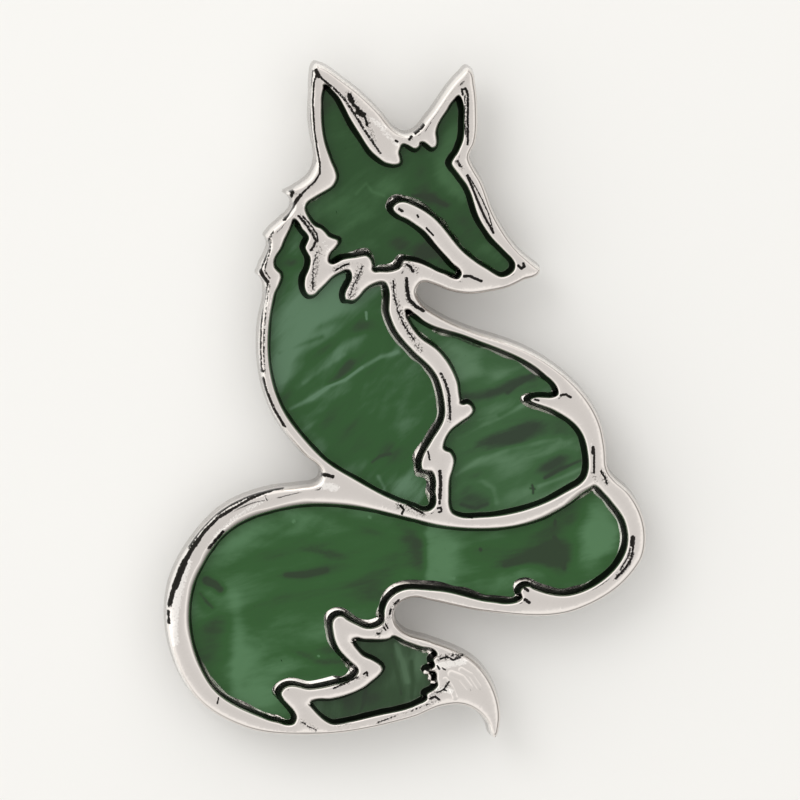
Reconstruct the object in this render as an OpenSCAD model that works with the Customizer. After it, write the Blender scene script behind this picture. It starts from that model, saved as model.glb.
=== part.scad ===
// Sitting fox brooch: a cast metal tray with five glossy inlays and a bar pin on its back.
// Millimetres. X runs across the fox, Y from the tail up to the ears, Z out of the face.
// The lowest faces of the pin back lie on z = 0, and the outline is centred on x = 0, y = 0.

/* [Casting] */
// Height of the fox from the tail end to the ear tip
brooch_height = 62; // [50:1:80]
// Width of the fox from the left tail loop to the right one
brooch_width = 44; // [36:1:58]
// Thickness of the casting from its flat back to the top of the bars
casting_thickness = 2.6; // [2.2:0.1:3.6]
// Thickness of the solid plate under the inlays
back_plate = 0.6; // [0.5:0.1:0.9]
// Radius of the rounded shoulders along the bars
shoulder_radius = 0.28; // [0.1:0.02:0.36]
// How far an outer wall leans in between the back and the top
outer_lean = 0.16; // [0:0.02:0.3]
// How far a window wall leans in between the top and the plate
window_lean = 0.1; // [0:0.02:0.16]

/* [Inlays] */
// Thickness of each inlay
inlay_thickness = 0.8; // [0.5:0.1:1]
// Free space between the edge of an inlay and the window wall
inlay_side_gap = 0.12; // [0.06:0.02:0.2]
// Film of glue between an inlay and the plate
inlay_glue = 0.05; // [0.02:0.01:0.1]

/* [Pin back] */
// Distance from the back of the casting to the lowest face of the hinge and the catch
pin_back_height = 3.4; // [3:0.1:4.5]
// Length of the bar that is glued to the casting
bar_length = 26; // [20:1:28]
// Width of the bar
bar_width = 4.6; // [4:0.2:6]
// Thickness of the bar
bar_thickness = 0.7; // [0.5:0.1:1]
// Film of glue between the bar and the casting
bar_glue = 0.05; // [0.02:0.01:0.1]
// Place of the pin back across the fox, as a share of its width
pin_across = 0.48; // [0.46:0.01:0.5]
// Place of the pin back up the fox, as a share of its height
pin_up = 0.44; // [0.42:0.01:0.46]
// Diameter of the pin wire
wire_diameter = 0.8; // [0.6:0.1:1]
// Length of the tapered point of the wire
point_length = 3; // [2:0.5:4]
// Diameter of the rivet that carries the wire
rivet_diameter = 0.9; // [0.7:0.1:1.1]
// Thickness of the two hinge cheeks and of the catch
sheet = 0.6; // [0.5:0.1:0.8]
// Length of the hinge and of the catch along the bar
foot_length = 3.2; // [2.6:0.2:4]
// Width of the hinge and of the catch across the bar
foot_width = 4; // [3.4:0.2:4.6]
// Free space between the wire and the foot of the catch
wire_gap = 0.3; // [0.2:0.05:0.4]

/* [Hidden] */
// Each share table lists an outline clockwise, a row for each turn of the edge.
// Columns: across and up, in hundredths of brooch_width and brooch_height, and 1 for a sharp corner.
crown_and_ears = [
  [30.0, 98.0], [31.1, 100], [32.3, 99.8], [36.5, 97.9], [44.9, 92.6], [47.2, 90.6], [49.6, 89.7],
  [51.4, 90.1], [53.4, 91.7], [60.7, 98.4], [62.2, 99.3], [63.5, 98.7], [64.2, 96.8], [64.7, 93.0],
  [64.1, 87.7], [63.1, 86.1], [63.8, 84.8]
];
snout = [
  [65.4, 82.9], [68.3, 77.7], [73.8, 72.1], [76.3, 70.6], [77.8, 69.5], [77.2, 68.5], [74.5, 67.8],
  [71.1, 66.7], [66.7, 66.0], [62.7, 65.7], [58.2, 66.3], [55.1, 67.2], [53.1, 67.4], [52.3, 66.5],
  [52.9, 65.3]
];
back_and_rump = [
  [57.2, 62.9], [62.4, 61.2], [72.9, 58.6], [76.9, 57.2], [90.7, 46.2], [91.5, 43.2], [92.2, 39.8],
  [93.7, 38.5]
];
right_loop = [
  [95.8, 37.2], [100, 30.0], [99.4, 26.9], [97.1, 24.3], [85.4, 18.8], [66.7, 18.7], [54.4, 20.6],
  [51.7, 21.0], [48.0, 19.5], [48.2, 17.7], [49.9, 16.4]
];
tail_end = [
  [54.1, 15.4], [65.9, 10.9], [68.2, 8.4], [69.6, 1.6], [69.0, 0.3], [68.1, 0], [67.2, 0.7],
  [66.6, 2.0], [65.4, 3.3], [62.2, 4.8], [56.5, 4.6], [52.5, 3.4]
];
left_loop = [
  [48.0, 2.5], [30.1, 0.8], [16.1, 2.1], [6.3, 6.5], [3.0, 10.0], [1.0, 13.9], [0, 18.9],
  [0.6, 23.1], [6.4, 31.1], [11.8, 34.9], [23.0, 37.9], [28.2, 38.3], [31.8, 39.1], [31.9, 40.2]
];
chest_side = [
  [29.1, 42.0], [21.7, 49.3], [19.1, 59.4], [19.4, 62.3], [20.5, 66.8], [20.2, 68.0]
];
cheek_tufts = [
  [18.9, 69.1, 1], [19.7, 70.8], [21.2, 73.6], [20.5, 74.7, 1], [21.7, 75.9], [24.1, 77.4], [26.1, 79.2],
  [25.9, 80.0], [24.5, 80.9, 1], [30.4, 84.4], [30.9, 85.9], [30.2, 89.0], [29.7, 91.8], [29.9, 95.4]
];
outer_table = concat(
  crown_and_ears, snout, back_and_rump, right_loop, tail_end, left_loop, chest_side, cheek_tufts
);

left_ear_window = [
  [32.8, 96.8], [34.2, 96.1], [39.0, 90.7], [44.0, 86.0], [46.4, 85.1], [47.8, 85.5], [47.5, 86.8]
];
right_ear_window = [
  [48.9, 88.1], [51.5, 87.5], [52.5, 88.4], [53.9, 88.0], [54.9, 87.6], [55.3, 88.3], [55.1, 89.6],
  [57.5, 93.1], [59.4, 94.8], [60.4, 95.0], [61.1, 94.2], [61.4, 91.5], [61.2, 88.6], [60.0, 86.6],
  [58.9, 85.2]
];
brow_window = [
  [59.9, 84.0], [62.0, 82.0], [64.9, 76.7], [67.4, 74.1], [70.4, 71.9], [72.0, 70.4], [71.9, 69.7],
  [69.2, 68.6], [66.3, 69.5]
];
snout_bar = [
  [61.9, 71.6], [53.6, 77.9], [50.7, 79.1], [48.2, 79.6], [46.9, 78.8], [50.0, 77.0], [53.2, 75.4],
  [56.3, 72.8], [59.4, 70.4]
];
jaw_window = [
  [61.0, 69.1], [60.4, 68.4], [57.9, 68.8], [50.7, 70.9], [49.1, 71.0], [48.6, 70.2], [44.2, 69.5],
  [42.4, 69.6], [42.1, 70.7], [41.4, 71.6], [39.1, 71.6], [36.5, 71.3], [34.4, 70.7], [33.1, 71.2],
  [33.7, 72.5]
];
cheek_window = [
  [35.0, 73.9], [33.6, 74.5], [31.9, 75.7], [30.5, 76.2], [28.9, 77.7], [28.3, 78.8], [32.0, 81.1],
  [34.2, 82.2], [34.8, 83.3], [33.9, 85.3], [32.6, 87.8], [31.7, 93.9], [32.0, 96.0]
];
head_table = concat(
  left_ear_window, right_ear_window, brow_window, snout_bar, jaw_window, cheek_window
);

chest_table = [
  [26.7, 77.2], [28.3, 75.8], [29.6, 74.5], [28.9, 73.1], [29.9, 71.6], [28.8, 67.2], [29.7, 66.1],
  [31.4, 67.0], [36.2, 69.6], [38.1, 69.6], [38.4, 68.4], [37.1, 66.4], [37.3, 65.4], [38.5, 65.4],
  [40.8, 67.0], [43.4, 67.9], [45.4, 67.8], [46.1, 66.7], [46.1, 63.7], [47.7, 60.7], [50.4, 58.3],
  [56.1, 53.9], [57.3, 51.1], [57.6, 48.3], [54.4, 43.9], [52.9, 41.6], [53.1, 40.3], [55.0, 40.0],
  [55.7, 36.9], [55.6, 34.9], [54.6, 34.3], [50.1, 35.0], [38.1, 39.2], [33.0, 41.5], [28.2, 45.0],
  [24.0, 49.1], [22.2, 66.7], [23.3, 69.1], [22.2, 70.1], [21.9, 71.1], [23.4, 73.1], [25.1, 75.8]
];

flank_table = [
  [49.5, 63.9], [51.1, 63.4], [53.2, 62.2], [62.6, 59.7], [78.6, 53.9], [80.8, 52.2], [81.0, 51.2],
  [79.9, 50.8], [76.4, 50.8], [75.4, 50.4], [76.2, 50.0], [79.7, 49.0], [86.1, 45.3], [87.2, 42.6],
  [86.8, 38.8], [82.6, 36.7], [65.0, 33.2], [60.0, 33.4], [58.7, 33.9], [58.0, 36.5], [58.2, 39.1],
  [59.0, 41.7], [58.5, 42.6], [56.9, 43.3], [57.1, 44.6], [58.8, 46.4], [61.5, 47.8], [62.9, 49.0],
  [62.2, 49.8], [60.7, 49.9], [60.2, 50.7], [59.8, 52.7], [55.7, 57.8], [52.0, 59.8], [49.7, 62.0],
  [49.0, 63.3]
];

tail_table = [
  [88.7, 37.6], [90.5, 36.6], [92.6, 34.9], [94.9, 32.5], [95.7, 30.0], [82.8, 21.4], [76.1, 22.3],
  [74.4, 22.8], [73.5, 22.1], [73.8, 21.1], [72.5, 20.5], [68.1, 20.5], [55.3, 22.4], [48.0, 22.2],
  [45.8, 20.7], [45.2, 19.2], [45.2, 17.9], [43.7, 17.1], [37.4, 18.1], [35.7, 18.8], [34.7, 18.2],
  [34.6, 16.6], [36.0, 13.7], [38.4, 11.9], [39.9, 10.6], [39.0, 9.6], [35.4, 8.7], [29.5, 8.0],
  [24.8, 8.3], [23.9, 7.5], [25.4, 5.7], [27.1, 3.8], [26.5, 2.9], [23.5, 3.0], [18.4, 4.2],
  [9.2, 8.4], [6.3, 12.2], [4.4, 19.4], [5.2, 23.4], [7.5, 27.0], [11.8, 31.1], [25.1, 35.0],
  [39.8, 34.9], [50.1, 33.2], [57.5, 31.9], [78.6, 33.3], [84.3, 35.7], [87.4, 37.3]
];

tail_tip_table = [
  [38.6, 15.4], [40.9, 15.3], [45.9, 15.4], [47.0, 15.7], [49.4, 15.0], [53.2, 14.0], [55.5, 13.6],
  [56.2, 12.9], [55.4, 12.1], [55.7, 11.2], [54.6, 10.6, 1], [56.0, 10.1], [56.1, 9.2], [56.3, 8.3],
  [55.2, 7.5], [54.1, 7.0], [54.1, 6.3], [52.5, 5.6], [43.3, 3.9], [37.6, 3.0], [34.6, 2.7],
  [30.3, 4.8], [29.4, 5.7], [29.9, 6.2], [33.8, 6.5], [42.5, 9.3], [44.2, 10.8], [40.7, 12.7],
  [38.7, 14.2], [38.2, 14.9]
];

// Longest facet along an edge, and the fewest facets between two rows
facet_length = 1;
least_facets = 2;
// Steps round a shoulder, from the wall to the top
shoulder_steps = 2;
// An inset goes at most this share of the way to the centre of a tight bend
bend_share = 0.7;
// How far a cutter passes the face that it cuts
cut_over = 0.5;
// Facets of the round pin-back parts
round_facets = 48;

casting_base = pin_back_height + bar_glue;
casting_top = casting_base + casting_thickness;
window_floor = casting_base + back_plate;
inlay_base = window_floor + inlay_glue;

// Outlines

// Table rows become millimetres about the middle of the fox, and keep their corner mark.
function placed(table) = [
  for (row = table)
    [(row[0] / 100 - 0.5) * brooch_width, (row[1] / 100 - 0.5) * brooch_height, len(row) > 2 ? 1 : 0]
];
function flat(p) = [p[0], p[1]];
function unit(v) = v / norm(v);
function chord(rows, i) = flat(rows[(i + 1) % len(rows)]) - flat(rows[i]);
function chord_before(rows, i) = chord(rows, (i + len(rows) - 1) % len(rows));

// Direction of the edge at a row: the shorter of the two chords that meet there counts for more.
function heading(rows, i) =
  let (before = chord_before(rows, i), after = chord(rows, i))
    unit(unit(before) * norm(after) + unit(after) * norm(before));
function heading_out(rows, i) = rows[i][2] == 1 ? unit(chord(rows, i)) : heading(rows, i);
function heading_in(rows, i) = rows[i][2] == 1 ? unit(chord_before(rows, i)) : heading(rows, i);

// Smooth closed edge through all the rows of a placed table.
function smooth(rows) = [
  for (i = [0:len(rows) - 1])
    let (reach = norm(chord(rows, i)), facets = max(least_facets, ceil(reach / facet_length)))
      for (s = [0:facets - 1])
        let (
          t = s / facets,
          from_here = t * t * (3 - 2 * t),
          lead = t * (1 - t) * (1 - t) * reach,
          arrive = t * t * (1 - t) * reach
        )
          flat(rows[i]) + chord(rows, i) * from_here
          + heading_out(rows, i) * lead - heading_in(rows, (i + 1) % len(rows)) * arrive
];

// A clockwise edge moved inwards by a distance, or outwards if that is negative.
function moved(edge, distance) = [
  for (i = [0:len(edge) - 1])
    let (
      here = edge[i],
      next = edge[(i + 1) % len(edge)],
      last = edge[(i + len(edge) - 1) % len(edge)],
      out_way = unit(next - here),
      in_way = unit(here - last),
      across = unit(in_way + out_way),
      turn = in_way[0] * out_way[1] - in_way[1] * out_way[0],
      bend_radius = norm(next - last) / 2 / max(abs(turn), 0.001),
      tight = turn * distance < 0,
      go = tight ? min(abs(distance), bend_share * bend_radius) : abs(distance),
      miter = max(0.6, across * out_way)
    )
      here + [across[1], -across[0]] * sign(distance) * go / miter
];

function raised(edge, z) = [for (p = edge) [p[0], p[1], z]];

outer_edge = smooth(placed(outer_table));
head_edge = smooth(placed(head_table));
chest_edge = smooth(placed(chest_table));
flank_edge = smooth(placed(flank_table));
tail_edge = smooth(placed(tail_table));
tail_tip_edge = smooth(placed(tail_tip_table));

// Solid through a stack of closed rings of equal length, lowest ring first.
module stack(rings) {
  count = len(rings[0]);
  points = [for (ring = rings) for (p = ring) p];
  sides = [
    for (k = [0:len(rings) - 2], i = [0:count - 1])
      let (j = (i + 1) % count, low = k * count, high = (k + 1) * count)
        each [[low + i, low + j, high + j], [low + i, high + j, high + i]]
  ];
  lowest = [[for (i = [0:count - 1]) count - 1 - i]];
  highest = [[for (i = [0:count - 1]) (len(rings) - 1) * count + i]];
  polyhedron(points, concat(sides, lowest, highest));
}

// Rings round a shoulder below the top, as [inset, height] about the wall that it rounds off.
function shoulder(k) =
  let (a = 90 * k / shoulder_steps)
    [shoulder_radius * (1 - cos(a)), casting_top - shoulder_radius * (1 - sin(a))];

// Body of the casting before its windows are cut.
module casting_body() {
  wall_top = moved(outer_edge, outer_lean);
  stack(concat(
    [raised(outer_edge, casting_base)],
    [for (k = [0:shoulder_steps]) raised(moved(wall_top, shoulder(k)[0]), shoulder(k)[1])]
  ));
}

// One window, from the plate up through the top, with its lean and its shoulder.
module window(edge) {
  stack(concat(
    [raised(moved(edge, window_lean), window_floor)],
    [for (k = [0:shoulder_steps]) raised(moved(edge, -shoulder(k)[0]), shoulder(k)[1])],
    [raised(moved(edge, -shoulder_radius), casting_top + cut_over)]
  ));
}

// One inlay: the window's own edge where it meets the plate, less the gap at its sides.
module inlay(edge) {
  translate([0, 0, inlay_base])
    linear_extrude(inlay_thickness) polygon(moved(moved(edge, window_lean), inlay_side_gap));
}

// The smooth edge may pass a row by a hair, so the casting is brought to its named size.
module frame() {
  color("silver") translate([0, 0, casting_base])
    resize([brooch_width, brooch_height, casting_thickness]) translate([0, 0, -casting_base])
      difference() {
        casting_body();
        window(head_edge);
        window(chest_edge);
        window(flank_edge);
        window(tail_edge);
        window(tail_tip_edge);
      }
}

module panel_head() {
  color("darkgreen") inlay(head_edge);
}

module panel_chest() {
  color("seagreen") inlay(chest_edge);
}

module panel_flank() {
  color("green") inlay(flank_edge);
}

module panel_tail() {
  color("forestgreen") inlay(tail_edge);
}

module panel_tail_tip() {
  color("darkolivegreen") inlay(tail_tip_edge);
}

// Pin back

pin_x = (pin_across - 0.5) * brooch_width;
pin_y = (pin_up - 0.5) * brooch_height;
bar_base = pin_back_height - bar_thickness;
foot_y = (bar_length - bar_width - foot_length) / 2;
wire_z = sheet + wire_gap + wire_diameter / 2;
foot_inside = foot_width - 2 * sheet;

// Flat bar with round ends, against the back of the casting.
module bar() {
  translate([0, 0, bar_base]) linear_extrude(bar_thickness) {
    square([bar_width, bar_length - bar_width], center = true);
    for (side = [-1, 1])
      translate([0, side * (bar_length - bar_width) / 2]) circle(d = bar_width, $fn = round_facets);
  }
}

// Two cheeks that stand from the bar, with the rivet between them.
module hinge() {
  translate([0, foot_y, 0]) {
    for (side = [-1, 1])
      translate([side * (foot_width - sheet) / 2, 0, (bar_base + bar_thickness / 2) / 2])
        cube([sheet, foot_length, bar_base + bar_thickness / 2], center = true);
    translate([-foot_width / 2, 0, wire_z]) rotate([0, 90, 0])
      cylinder(d = rivet_diameter, h = foot_width, $fn = round_facets);
  }
}

// Strip bent round the wire: a flat foot, a back wall up to the bar and a short lip.
module catch() {
  lip_top = wire_z + wire_diameter / 2;
  translate([0, -foot_y, 0]) {
    translate([-foot_width / 2, -foot_length / 2, 0]) cube([foot_width, foot_length, sheet]);
    translate([-foot_width / 2, -foot_length / 2, 0])
      cube([sheet, foot_length, bar_base + bar_thickness / 2]);
    translate([foot_width / 2 - sheet, -foot_length / 2, 0]) cube([sheet, foot_length, lip_top]);
  }
}

// Wire from the rivet to just past the catch, with its tapered point.
module wire() {
  wire_length = 2 * foot_y + foot_length / 2;
  translate([0, foot_y, wire_z]) rotate([90, 0, 0]) {
    cylinder(d = wire_diameter, h = wire_length - point_length, $fn = round_facets);
    translate([0, 0, wire_length - point_length])
      cylinder(d1 = wire_diameter, d2 = wire_diameter / 4, h = point_length, $fn = round_facets);
  }
  translate([0, foot_y, wire_z]) rotate([0, 90, 0])
    cylinder(d = rivet_diameter + wire_diameter, h = foot_inside, center = true, $fn = round_facets);
}

module pin_back() {
  color("gainsboro") translate([pin_x, pin_y, 0]) {
    bar();
    hinge();
    catch();
    wire();
  }
}

frame();
panel_head();
panel_chest();
panel_flank();
panel_tail();
panel_tail_tip();
pin_back();
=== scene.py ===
# %% [markdown]
# # Fox brooch
# The real object is one shallow metal tray, cast in the outline of a sitting fox. Raised bars part
# it into five windows, and each window holds a glossy sheet of marbled green. The CAD model fixes
# every outline and height. Here each part gets its finer shape and its finish: crowned bars with
# casting marks, a narrow seat round each inlay, clouded inlays and a plated pin on the back.

# %% Load the CAD model
import math
from functools import partial

import bmesh
import bpy
from mathutils import Matrix, Vector, kdtree, noise


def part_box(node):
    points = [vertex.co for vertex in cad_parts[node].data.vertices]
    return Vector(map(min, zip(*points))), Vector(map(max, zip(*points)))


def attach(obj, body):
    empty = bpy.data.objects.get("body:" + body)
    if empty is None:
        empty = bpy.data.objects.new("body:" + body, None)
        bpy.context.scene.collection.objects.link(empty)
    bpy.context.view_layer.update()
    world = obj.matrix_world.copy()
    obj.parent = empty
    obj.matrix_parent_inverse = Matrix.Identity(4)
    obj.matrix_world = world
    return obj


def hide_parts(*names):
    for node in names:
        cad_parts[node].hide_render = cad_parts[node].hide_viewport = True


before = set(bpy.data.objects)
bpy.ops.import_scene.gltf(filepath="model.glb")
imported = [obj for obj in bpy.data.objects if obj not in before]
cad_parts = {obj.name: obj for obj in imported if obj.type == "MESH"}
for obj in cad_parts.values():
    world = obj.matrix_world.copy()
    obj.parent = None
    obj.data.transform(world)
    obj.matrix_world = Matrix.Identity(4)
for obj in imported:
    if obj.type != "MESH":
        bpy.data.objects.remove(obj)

MM = 0.001
bpy.context.view_layer.update()

# %% [markdown]
# ## Places and heights
# The photograph was the drawing board for the outline: `spot` turns one of its pixels into a point
# on the plane of the casting's top, with the scale of the CAD model. The camera that took it leaned
# a little, so a mark is placed with `seen`, which gives the point that shows at a pixel through
# that camera, and `lean_shift` adds what depth does. The heights come from the CAD nodes, so the
# dressed parts can't drift from the solids.

# %% Places and heights
PHOTO_SIDE = 800
PIXEL = 0.0913 * MM
PHOTO_MIDDLE = (409.75, 404.0)
# Degrees by which the photograph looks from the left and from above, the width that it shows, and
# the pixel of the drawing board in its middle
VIEW_LEAN = (5.0, 8.0)
SHOWN = 72.23 * MM
VIEW_MIDDLE = (402.0, 399.4)


def spot(px, py):
    """A pixel of the photograph as a point on the plane of the casting's top."""
    return Vector(((px - PHOTO_MIDDLE[0]) * PIXEL, (PHOTO_MIDDLE[1] - py) * PIXEL))


def seen(px, py):
    """The point on the plane of the casting's top that shows at a pixel of the photograph."""
    across, up = (SHOWN / PHOTO_SIDE / math.cos(math.radians(lean)) for lean in VIEW_LEAN)
    return spot(*VIEW_MIDDLE) + Vector(((px - PHOTO_SIDE / 2) * across, (PHOTO_SIDE / 2 - py) * up))


def lean_shift(deep):
    """How far a point at a depth below the top shows from its true place."""
    left, up = (math.tan(math.radians(lean)) for lean in VIEW_LEAN)
    return Vector((-left, up)) * deep


BACK_PLATE = 0.6 * MM
back_z, top_z = (corner.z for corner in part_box("frame"))
inlay_top_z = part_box("panel_chest")[1].z
plate_z = back_z + BACK_PLATE
print("casting from", round(back_z / MM, 2), "to", round(top_z / MM, 2), "mm")

# %% [markdown]
# ## Edge loops of the casting
# A cast bar has an upright wall, a tight rounded shoulder and a gently crowned top. All of them
# follow the same outline, so the outline is taken from the CAD node once: a flat cut through the
# height where the walls end leaves six closed loops of edges, one outside and five windows.

# %% Cut the loops from the CAD node
CAD_SHOULDER = 0.28 * MM


def merged_copy(node):
    """A copy of a CAD node's mesh with its loose triangles joined."""
    bm = bmesh.new()
    bm.from_mesh(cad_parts[node].data)
    bmesh.ops.remove_doubles(bm, verts=bm.verts[:], dist=0.001 * MM)
    return bm


def cut_flat(bm, z):
    """Keeps only the edges of a mesh that lie in one flat cut."""
    bmesh.ops.bisect_plane(
        bm, geom=bm.verts[:] + bm.edges[:] + bm.faces[:], dist=0.001 * MM,
        plane_co=(0, 0, z), plane_no=(0, 0, 1), clear_inner=True, clear_outer=True)


def walk_loops(bm):
    """The closed loops of bare edges, each as a list of its verts, clockwise from above."""
    loops, left = [], set(bm.verts)
    while left:
        start = min(left, key=lambda v: (v.co.x, v.co.y))
        ring, before, here = [start], None, start
        while True:
            others = [e.other_vert(here) for e in here.link_edges]
            ahead = next(v for v in others if v is not before)
            if ahead is start:
                break
            ring.append(ahead)
            before, here = here, ahead
        area = sum(a.co.x * b.co.y - b.co.x * a.co.y for a, b in zip(ring, ring[1:] + ring[:1]))
        if area > 0:
            ring.reverse()
        loops.append(ring)
        left -= set(ring)
    return sorted(loops, key=lambda r: min(v.co.x for v in r))


casting = merged_copy("frame")
cut_flat(casting, top_z - CAD_SHOULDER)
loops = walk_loops(casting)
print("loops:", len(loops), "verts in each:", [len(r) for r in loops])

# %% [markdown]
# ## Finer loops
# The CAD edge has a facet about every millimetre, which is right for a solid but shows in a
# mirror finish. Each edge is divided in three, and the new points are put on a smooth curve
# through their neighbours. Moving a loop sideways works on the CAD's own points first, where a
# tight bend limits the step so that the loop never folds over itself.

# %% Finer and moved loops
CUTS = 2
BEND_SHARE = 0.7


def heading(points, i):
    """Direction of a loop at a point. The shorter of the two chords counts for more."""
    before = points[i] - points[i - 1]
    after = points[(i + 1) % len(points)] - points[i]
    return (before.normalized() * after.length + after.normalized() * before.length).normalized()


def smooth(t):
    """A soft step, as t goes from 0 to 1."""
    return t * t * (3 - 2 * t)


def finer(points):
    """The loop with new points on a smooth curve between each pair."""
    out = []
    headings = [heading(points, i) for i in range(len(points))]
    for i, here in enumerate(points):
        chord = points[(i + 1) % len(points)] - here
        for k in range(CUTS + 1):
            t = k / (CUTS + 1)
            ease, lead, arrive = smooth(t), t * (1 - t) ** 2, t * t * (1 - t)
            pull = headings[i] * lead - headings[(i + 1) % len(points)] * arrive
            out.append(here + chord * ease + pull * chord.length)
    return out


def moved(points, distance):
    """The loop moved sideways: inwards for a positive distance, as it runs clockwise."""
    out = []
    for i, here in enumerate(points):
        ahead, last = points[(i + 1) % len(points)], points[i - 1]
        go_out, go_in = (ahead - here).normalized(), (here - last).normalized()
        across = (go_in + go_out).normalized()
        inward = Vector((across.y, -across.x))
        step = distance(here, inward) if callable(distance) else distance
        turn = go_in.x * go_out.y - go_in.y * go_out.x
        bend_radius = (ahead - last).length / 2 / max(abs(turn), 0.001)
        size = min(abs(step), BEND_SHARE * bend_radius) if turn * step < 0 else abs(step)
        out.append(here + inward * math.copysign(size, step) / max(0.6, across.dot(go_out)))
    return out


# %% [markdown]
# ## Shoulders and seats
# No edge of a hand-finished casting is even. The outer shoulder is broad, the windows' shoulders are
# tight but worn wide in places, and a narrow lip of metal, the seat, laps over the edge of each inlay.
# Its width changes along the window. So each size is a base value, plus a table of the places where
# it grows, plus a soft noise for the work of hand and mould.

# %% Sizes of the shoulders and the seat
CROWN_DROP = 0.09 * MM
CROWN_REACH = 0.85 * MM
CROWN_RISE = 2 * CROWN_DROP / CROWN_REACH
ROLLED_DROP, ROLLED_REACH = 0.13 * MM, 0.75 * MM
# A shoulder's width and its height. A worn one falls further, by this share of its extra width.
OUTER_SHOULDER = (0.36 * MM, 1.0 * MM)
WINDOW_SHOULDER = (0.2 * MM, 0.3 * MM)
WORN_FALL = 0.45
SHOULDER_STEPS = 8
# How far the outer wall, the hidden wall and a window's wall lean out towards their foot
OUTER_LEAN, HIDDEN_LEAN, WALL_LEAN = 0.16 * MM, 0.1 * MM, 0.34 * MM
WALL_SKEW = 0.12 * MM
LEFT_WALL_SHIFT = 0.3 * MM
BACK_EDGE = 0.06 * MM
# The narrowest seat, and its rings: whether it is at the lip, and the height over the inlay in mm
SEAT = 0.03 * MM
SEAT_RINGS = [(False, 0.075), (True, 0.05), (True, 0.01), (False, 0.005)]
WALL_FOOT = 0.09 * MM
# A window's wall is painted black, as painted shade, from this far below its shoulder, and stands this far
# further in there
WALL_START, WALL_START_IN = 0.05 * MM, 0.02 * MM
# Finish: the shine of the shoulder ends this far down the wall
SHINE_END = 0.12 * MM
# Cast skin on the edge of the back, then the seats' painted highlight and their dark specks
BACK_GRAIN, SEAT_HIGHLIGHT, SEAT_SPECKS = 0.35, 0.9, 0.34
# Where the seat is wider: photo pixel, reach in pixels, extra width in mm
WIDE_SEATS = [
    (430, 490, 16, 0.4), (427, 477, 14, 0.36), (418, 456, 16, 0.24), (432, 432, 22, 0.16),
    (442, 400, 24, 0.16), (436, 372, 24, 0.14), (420, 350, 24, 0.18), (402, 336, 22, 0.16),
    (390, 316, 22, 0.14), (386, 292, 22, 0.12),
    (400, 598, 20, 0.3), (412, 584, 24, 0.34), (440, 584, 30, 0.36), (470, 588, 26, 0.28),
    (500, 594, 24, 0.2), (526, 584, 16, 0.3), (545, 590, 24, 0.28), (575, 592, 20, 0.16),
    (596, 502, 22, 0.14), (612, 518, 20, 0.16), (621, 540, 20, 0.12),
    (336, 612, 18, 0.24), (332, 632, 20, 0.18), (352, 614, 20, 0.26), (376, 622, 18, 0.24),
    (352, 670, 12, 0.22), (330, 680, 22, 0.26), (300, 684, 24, 0.24), (278, 686, 14, 0.24),
    (206, 672, 16, 0.14), (220, 690, 20, 0.22), (246, 708, 22, 0.2), (276, 720, 18, 0.16),
    (445, 335, 16, 0.2), (470, 345, 24, 0.22), (500, 358, 22, 0.18), (530, 376, 22, 0.16),
    (530, 408, 16, 0.26), (548, 414, 16, 0.16), (428, 648, 12, 0.24), (412, 642, 12, 0.2),
    (398, 204, 12, 0.26), (416, 202, 16, 0.24), (434, 208, 14, 0.2), (448, 219, 14, 0.2),
    (462, 233, 14, 0.22), (477, 247, 14, 0.22), (492, 260, 12, 0.2), (463, 416, 14, 0.14),
    (366, 253, 16, 0.2), (392, 262, 18, 0.2), (402, 256, 10, 0.14), (318, 196, 10, 0.1),
]
# Where a window's shoulder is worn wide: photo pixel, reach in pixels, extra width in mm
WORN_SHOULDERS = [
    (192, 610, 50, 0.26), (196, 575, 44, 0.34), (216, 540, 44, 0.46), (250, 518, 44, 0.42),
    (296, 505, 46, 0.3), (196, 650, 30, 0.12), (340, 506, 40, 0.16), (585, 506, 26, 0.4),
    (560, 520, 26, 0.2), (540, 526, 20, 0.1), (300, 440, 50, 0.06), (470, 190, 50, 0.08),
    (388, 655, 14, 0.1), (372, 650, 12, 0.12), (336, 640, 30, 0.06), (360, 180, 40, 0.05),
]
# Where the metal is too narrow for full shoulders: photo pixel, reach in pixels
NARROW_METAL = [(294, 193, 16), (536, 401, 14)]
NARROW_LOSS = 0.65
# Where the outer side is rolled over to a broad slope: photo pixel, reach in pixels
ROLLED_SIDES = [(270, 488, 40), (232, 508, 44), (200, 535, 44), (178, 575, 44), (168, 612, 34)]


def nearness(place, px, py, pixels):
    """1 at a photo pixel, falling smoothly to 0 at the given reach."""
    return smooth(max(0.0, 1 - (place - spot(px, py)).length / (pixels * PIXEL)))


def unevenness(place, fineness):
    """A soft noise from -1 to 1, for edges that were cast and filed by hand."""
    return noise.noise(Vector((place.x, place.y, 0)) * fineness)


def left_wall_shift(place, inward):
    """The walls on the left of a window stand a little further into it."""
    return LEFT_WALL_SHIFT * max(0.0, inward.x)


def wall_lean(place, inward):
    return WALL_LEAN * (1 + 0.2 * unevenness(place, 900)) - WALL_SKEW * inward.x


def extra_width(place, table, fullness):
    """The widest extra of a table at a place. A larger fullness gives it a flatter middle."""
    return max(extra * MM * min(1.0, fullness * nearness(place, px, py, pixels))
               for px, py, pixels, extra in table)


def full_share(place):
    """1, and less where the metal is narrow."""
    return 1 - NARROW_LOSS * min(1.0, 1.6 * max(nearness(place, *where) for where in NARROW_METAL))


def seat_width(place, inward):
    return (SEAT + extra_width(place, WIDE_SEATS, 1.6)) * (1 + 0.25 * unevenness(place, 2600))


def outer_shoulder(place, inward):
    return OUTER_SHOULDER[0] * full_share(place)


def window_shoulder(place, inward):
    return (WINDOW_SHOULDER[0] + extra_width(place, WORN_SHOULDERS, 1.3)) * full_share(place)


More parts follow.
